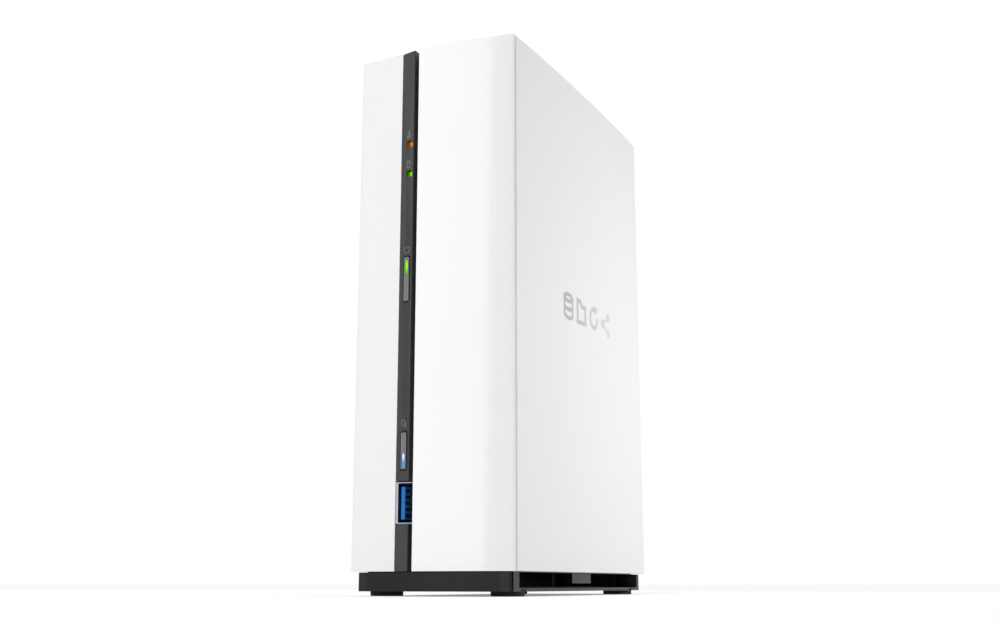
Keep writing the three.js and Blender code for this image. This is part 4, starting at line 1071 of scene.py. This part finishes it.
def feet():
    for node in ("foot_front_left", "foot_front_right", "foot_rear_left", "foot_rear_right"):
        low, high = box_mm(node)
        middle = (low + high) / 2
        radius = (high.x - low.x) / 2
        profile = [
            (0, 0), (radius - 1.3, 0), (radius - 1.15, 0.12), (radius - 0.95, 0.12), (radius - 0.8, 0),
            *[(radius - 0.3 + u, 0.3 + v) for u, v in arc(0, 0, 0.3, -90, 0, 6)],
            (radius, high.z), (0, high.z),
        ]
        bm = bmesh.new()
        add_lathe(bm, profile, Matrix.Translation((middle.x, middle.y, 0)), 72)
        obj = to_object(node + "_disc", bm)
        for polygon in obj.data.polygons:
            polygon.use_smooth = abs(polygon.normal.z) < 0.9
        finish_piece(obj, "chassis", "rubber", [node])


# ---------------------------------------------------------------- the fan


def fan_rotor():
    """Seven swept blades on a hub with a rounded rim."""
    low, high = box_mm("fan_rotor")
    middle = (low + high) / 2
    hub_radius = 10.2
    tip_radius = (high.x - low.x) / 2
    depth = high.y - low.y
    bm = bmesh.new()
    outward = facing((1, 0, 0), (0, 1, 0), (middle.x, low.y, middle.z))
    profile = [
        (0, 0), (hub_radius, 0), (hub_radius, depth - 1.2),
        *[(hub_radius - 1.2 + u, depth - 1.2 + v) for u, v in arc(0, 0, 1.2, 0, 90, 6)],
        (7.4, depth), (7.2, depth - 0.3), (0, depth - 0.3),
    ]
    add_lathe(bm, profile, outward, 56)
    blades, radial, chord, half_thickness = 7, 9, 10, 0.4

    def blade_vertex(turn, side, share, across):
        """A point on one side of a blade, at a share of the way to its tip and across from -0.5 to 0.5."""
        radius = hub_radius - 0.5 + (tip_radius - hub_radius + 0.5) * share
        angle = turn + 0.42 * share ** 1.4 + across * (0.72 - 0.12 * share)
        rise = depth / 2 + across * (depth - 1.4) + 0.9 * (0.25 - across ** 2)
        thin = side * (1 - (2 * abs(across)) ** 3 * 0.7)
        return bm.verts.new(outward @ polar(radius, angle, rise + thin))

    for b in range(blades):
        turn = 2 * math.pi * b / blades
        grids = []
        for side in (-half_thickness, half_thickness):
            grids.append([
                [blade_vertex(turn, side, i / radial, j / chord - 0.5) for j in range(chord + 1)]
                for i in range(radial + 1)
            ])
        add_shell(bm, *grids)
    obj = round_edges(to_object("swept_fan_rotor", bm), 0.1, angle=40)
    finish_piece(obj, "fan", "deep_black", ["fan_rotor"])


def add_shell(bm, first, second):
    """Closes two grids of the same size into one thin solid."""
    rows, columns = len(first), len(first[0])
    for grid in (first, second):
        for i in range(rows - 1):
            for j in range(columns - 1):
                bm.faces.new((grid[i][j], grid[i][j + 1], grid[i + 1][j + 1], grid[i + 1][j]))
    rim = [(0, j) for j in range(columns)] + [(i, columns - 1) for i in range(1, rows)]
    rim += [(rows - 1, j) for j in range(columns - 2, -1, -1)] + [(i, 0) for i in range(rows - 2, 0, -1)]
    for (i, j), (k, m) in zip(rim, rim[1:] + rim[:1]):
        bm.faces.new((first[i][j], first[k][m], second[k][m], second[i][j]))


def fan_label():
    """A plain round sticker on the rotor's hub."""
    low, high = box_mm("fan_rotor")
    middle = (low + high) / 2
    place = facing((-1, 0, 0), (0, 1, 0), (middle.x, high.y - 0.22, middle.z))
    obj = plate("fan_hub_sticker", [circle(0, 0, 6.9, 48)], 0.16, place, 0.05)
    finish_piece(obj, "fan", "paper")


# ---------------------------------------------------------------- the hard drive


def drive_details():
    """The lid's stamped rings, its screws and a plain label."""
    low, high = box_mm("drive_lid")
    face = facing_right(high.x)
    spindle = (low.y + 50, low.z + 84)
    pivot = (low.y + 20, low.z + 26)
    bm = bmesh.new()
    for (u, v), radius in ((spindle, 11), (spindle, 33), (pivot, 8)):
        section = [(radius + 0.8 * r, 0.16 * h) for r, h in circle(0, 0, 1, 12)]
        add_ring(bm, section, face @ Matrix.Translation((u, v, 0)))
    rings = to_object("drive_lid_rings", bm)
    rings.data.shade_smooth()
    finish_piece(rings, "chassis", "lid")
    star = toothed_circle(1.15, 0.85, 6)
    width, height = high.y - low.y, high.z - low.z
    spots = [(u, v) for v in (5, height / 2, height - 5) for u in (5, width - 5)]
    spots.append((pivot[0] - low.y, pivot[1] - low.z))
    heads = []
    for u, v in spots:
        place = face @ Matrix.Translation((low.y + u, low.z + v, 0.32))
        heads.append(plate("lid_screw", [circle(0, 0, 2.3, 36), star], 0.4, place, 0.1))
    finish_piece(joined("drive_lid_screws", heads), "chassis", "steel")
    sheet = rounded_rectangle(low.y + 52, low.z + 33, 66, 44, 1.5, 5)
    label = plate("drive_label", [sheet], 0.12, face @ Matrix.Translation((0, 0, 0.1)), 0.03)
    finish_piece(label, "chassis", "paper")
    strip = rectangle(low.y + 52, low.z + 50, 64, 6)
    band = plate("drive_label_band", [strip], 0.1, face @ Matrix.Translation((0, 0, 0.13)), 0.02)
    finish_piece(band, "chassis", "label_band")
    lines = [closed(rectangle(low.y + 52, low.z + z, 58, 0.2)) for z in (42, 38, 34, 18)]
    rules = strokes("drive_label_rules", lines, 0.3, face @ Matrix.Translation((0, 0, 0.11)), 0.02)
    finish_piece(rules, "chassis", "ferrite")


def add_ring(bm, section, place, sides=72):
    """Adds the ring that a closed (radius, height) section sweeps about its own Z."""
    rings = []
    for i in range(sides):
        angle = 2 * math.pi * i / sides
        rings.append([bm.verts.new(place @ polar(radius, angle, height)) for radius, height in section])
    for i in range(sides):
        bridge(bm, rings[i], rings[(i + 1) % sides])


# ---------------------------------------------------------------- the main board


def board_room():
    """The boxes in (y, z) that the board's CAD parts take, with a margin."""
    margin = 1.2
    board_low, board_high = box_mm("main_board")
    taken = []
    for entry in frame["record"]["subparts"]:
        low, high = box_mm(entry["node"])
        near_face = low.x < board_low.x - 0.05 and high.x > board_low.x - 7
        if entry["node"] not in ("main_board", "outer_cover", "base", "chassis") and near_face:
            taken.append((low.y - margin, high.y + margin, low.z - margin, high.z + margin))
    return board_low, board_high, taken


def board_parts():
    """Small parts on the board's open face, scattered clear of its larger ones."""
    draw = random.Random(7)
    board_low, board_high, taken = board_room()
    face = board_low.x

    def find(wide, tall):
        for _ in range(400):
            y = draw.uniform(board_low.y + 3, 39 - wide)
            z = draw.uniform(board_low.z + 3, board_high.z - 4 - tall)
            clear = all(y > t[1] or y + wide < t[0] or z > t[3] or z + tall < t[2] for t in taken)
            if clear:
                taken.append((y - 0.7, y + wide + 0.7, z - 0.7, z + tall + 0.7))
                return y, z
        return None

    cans, cores, chips, ends, bodies = (bmesh.new() for _ in range(5))
    for radius, height in [(3.2, 7)] * 3 + [(2.5, 5.4)] * 5:
        spot = find(2 * radius, 2 * radius)
        if spot:
            place = facing((0, 1, 0), (-1, 0, 0), (face, spot[0] + radius, spot[1] + radius))
            groove = [(radius, height * 0.2), (radius - 0.25, height * 0.28), (radius, height * 0.36)]
            rim = [(radius, height - 0.4), (radius - 0.4, height)]
            add_lathe(cans, [(0, 0), (radius, 0), *groove, *rim, (0, height)], place)
    for size, height in [(6.6, 3)] * 3 + [(4.2, 2.2)] * 4:
        spot = find(size, size)
        if spot:
            y, z = spot
            add_block(cores, (face - height, face - 0.05), (y, y + size), (z, z + size))
    for wide, tall in [(9, 9), (5, 6), (5, 6), (4, 5), (4, 4), (3, 4), (3, 4)]:
        spot = find(wide + 2, tall)
        if spot:
            y, z = spot
            add_block(chips, (face - 1.1, face - 0.15), (y + 1, y + 1 + wide), (z, z + tall))
            for k in range(int(tall / 1.27)):
                pin = z + 0.5 + 1.27 * k
                add_block(ends, (face - 0.35, face), (y + 0.2, y + 1.8 + wide), (pin, pin + 0.5))
    for _ in range(130):
        upright = draw.random() < 0.5
        wide, tall = (0.9, 1.7) if upright else (1.7, 0.9)
        spot = find(wide, tall)
        if not spot:
            continue
        y, z = spot
        add_block(ends, (face - 0.5, face), (y, y + wide), (z, z + tall))
        inset_y, inset_z = (-0.03, 0.35) if upright else (0.35, -0.03)
        add_block(
            bodies, (face - 0.56, face), (y + inset_y, y + wide - inset_y), (z + inset_z, z + tall - inset_z),
        )
    for name, bm, slot, finish, edge in (
        ("board_capacitors", cans, "aluminium", "tin", 0.15),
        ("board_inductors", cores, "chip_black", "ferrite", 0.35),
        ("board_chips", chips, "chip_black", "chip_black", 0.1),
        ("board_pins", ends, "nickel", "tin", 0.06),
        ("board_small_parts", bodies, "chip_black", "ivory", 0.06),
    ):
        rounded_piece(name, bm, edge, finish)


# ---------------------------------------------------------------- stage, light and camera


def stage():
    floor_finish = Finish("floor", (0.9, 0.9, 0.9), 1.0)
    floor_finish.tint((400, 2), 0.995, 1.0)
    floor_finish.set(Specular_IOR_Level=0.0, Emission_Color=(1, 1, 1, 1), Emission_Strength=0.26)
    bm = bmesh.new()
    bmesh.ops.create_circle(bm, cap_ends=True, segments=96, radius=9000)
    floor = to_object("floor", bm)
    floor.data.materials.append(floor_finish.material)


def studio():
    """A white surround, shown full white. It lights the object a little less, least from its dim side."""
    bright, dim = 0.84, 0.42
    dim_side = (0.966, -0.259, 0)
    world = bpy.data.worlds.new("studio")
    world.use_nodes = True
    nodes, links = world.node_tree.nodes, world.node_tree.links
    backdrop = nodes["Background"]
    direction = nodes.new("ShaderNodeTexCoord")
    towards = nodes.new("ShaderNodeVectorMath")
    towards.operation = "DOT_PRODUCT"
    towards.inputs[1].default_value = dim_side
    links.new(direction.outputs["Generated"], towards.inputs[0])
    lighting = nodes.new("ShaderNodeMapRange")
    lighting.interpolation_type = "SMOOTHSTEP"
    for socket, value in (("From Min", 0.1), ("From Max", 0.9), ("To Min", bright), ("To Max", dim)):
        lighting.inputs[socket].default_value = value
    links.new(towards.outputs["Value"], lighting.inputs["Value"])
    rays = nodes.new("ShaderNodeLightPath")
    strength = nodes.new("ShaderNodeMix")
    links.new(rays.outputs["Is Camera Ray"], strength.inputs["Factor"])
    links.new(lighting.outputs["Result"], strength.inputs["A"])
    strength.inputs["B"].default_value = 1.0
    links.new(strength.outputs["Result"], backdrop.inputs["Strength"])
    backdrop.inputs["Color"].default_value = (1, 1, 1, 1)
    bpy.context.scene.world = world
    bpy.context.scene.view_settings.view_transform = "Standard"


def aim(name, data, location, direction):
    """Adds a light or a camera that looks along direction from location."""
    obj = bpy.data.objects.new(name, data)
    obj.location = location
    obj.rotation_mode = "QUATERNION"
    obj.rotation_quaternion = direction.to_track_quat("-Z", "Y")
    bpy.context.scene.collection.objects.link(obj)
    return obj


def area_light(name, location, target, size, power):
    data = bpy.data.lights.new(name, "AREA")
    data.shape = "RECTANGLE"
    data.size, data.size_y = size
    data.energy = power
    aim(name, data, location, Vector(target) - Vector(location)).visible_camera = False


def camera():
    """Low beside the front right corner, looking up a little."""
    yaw = math.radians(25.46)
    pitch = math.radians(12.44)
    data = bpy.data.cameras.new("camera")
    data.sensor_width = 36
    data.lens = 44.34
    data.clip_start = 0.002
    forward = Vector((-math.sin(yaw) * math.cos(pitch), math.cos(yaw) * math.cos(pitch), math.sin(pitch)))
    bpy.context.scene.camera = aim("camera", data, (0.1925, -0.4119, 0.0038), forward)


camera()
dress_cad_nodes()
wings()
cover()
cover_tab()
small_marks()
side_marks()
light_skirts()
usb_contacts("front_usb", 1)
usb_contacts("rear_usb", -1)
front_usb_mouth()
lan_socket()
supply_jack()
fasteners()
thumbscrew()
feet()
fan_rotor()
fan_label()
drive_details()
board_parts()
stage()
studio()
area_light("front_softbox", (-0.42, -1.15, 0.34), (0, -0.05, 0.1), (0.48, 0.9), 2.72)
area_light("left_softbox", (-0.78, -0.95, 0.36), (0, -0.05, 0.1), (0.3, 0.72), 0.38)
area_light("side_softbox", (0.2, 0.07, 0.1), (0.03, 0.05, 0.08), (0.1, 0.12), 0.12)
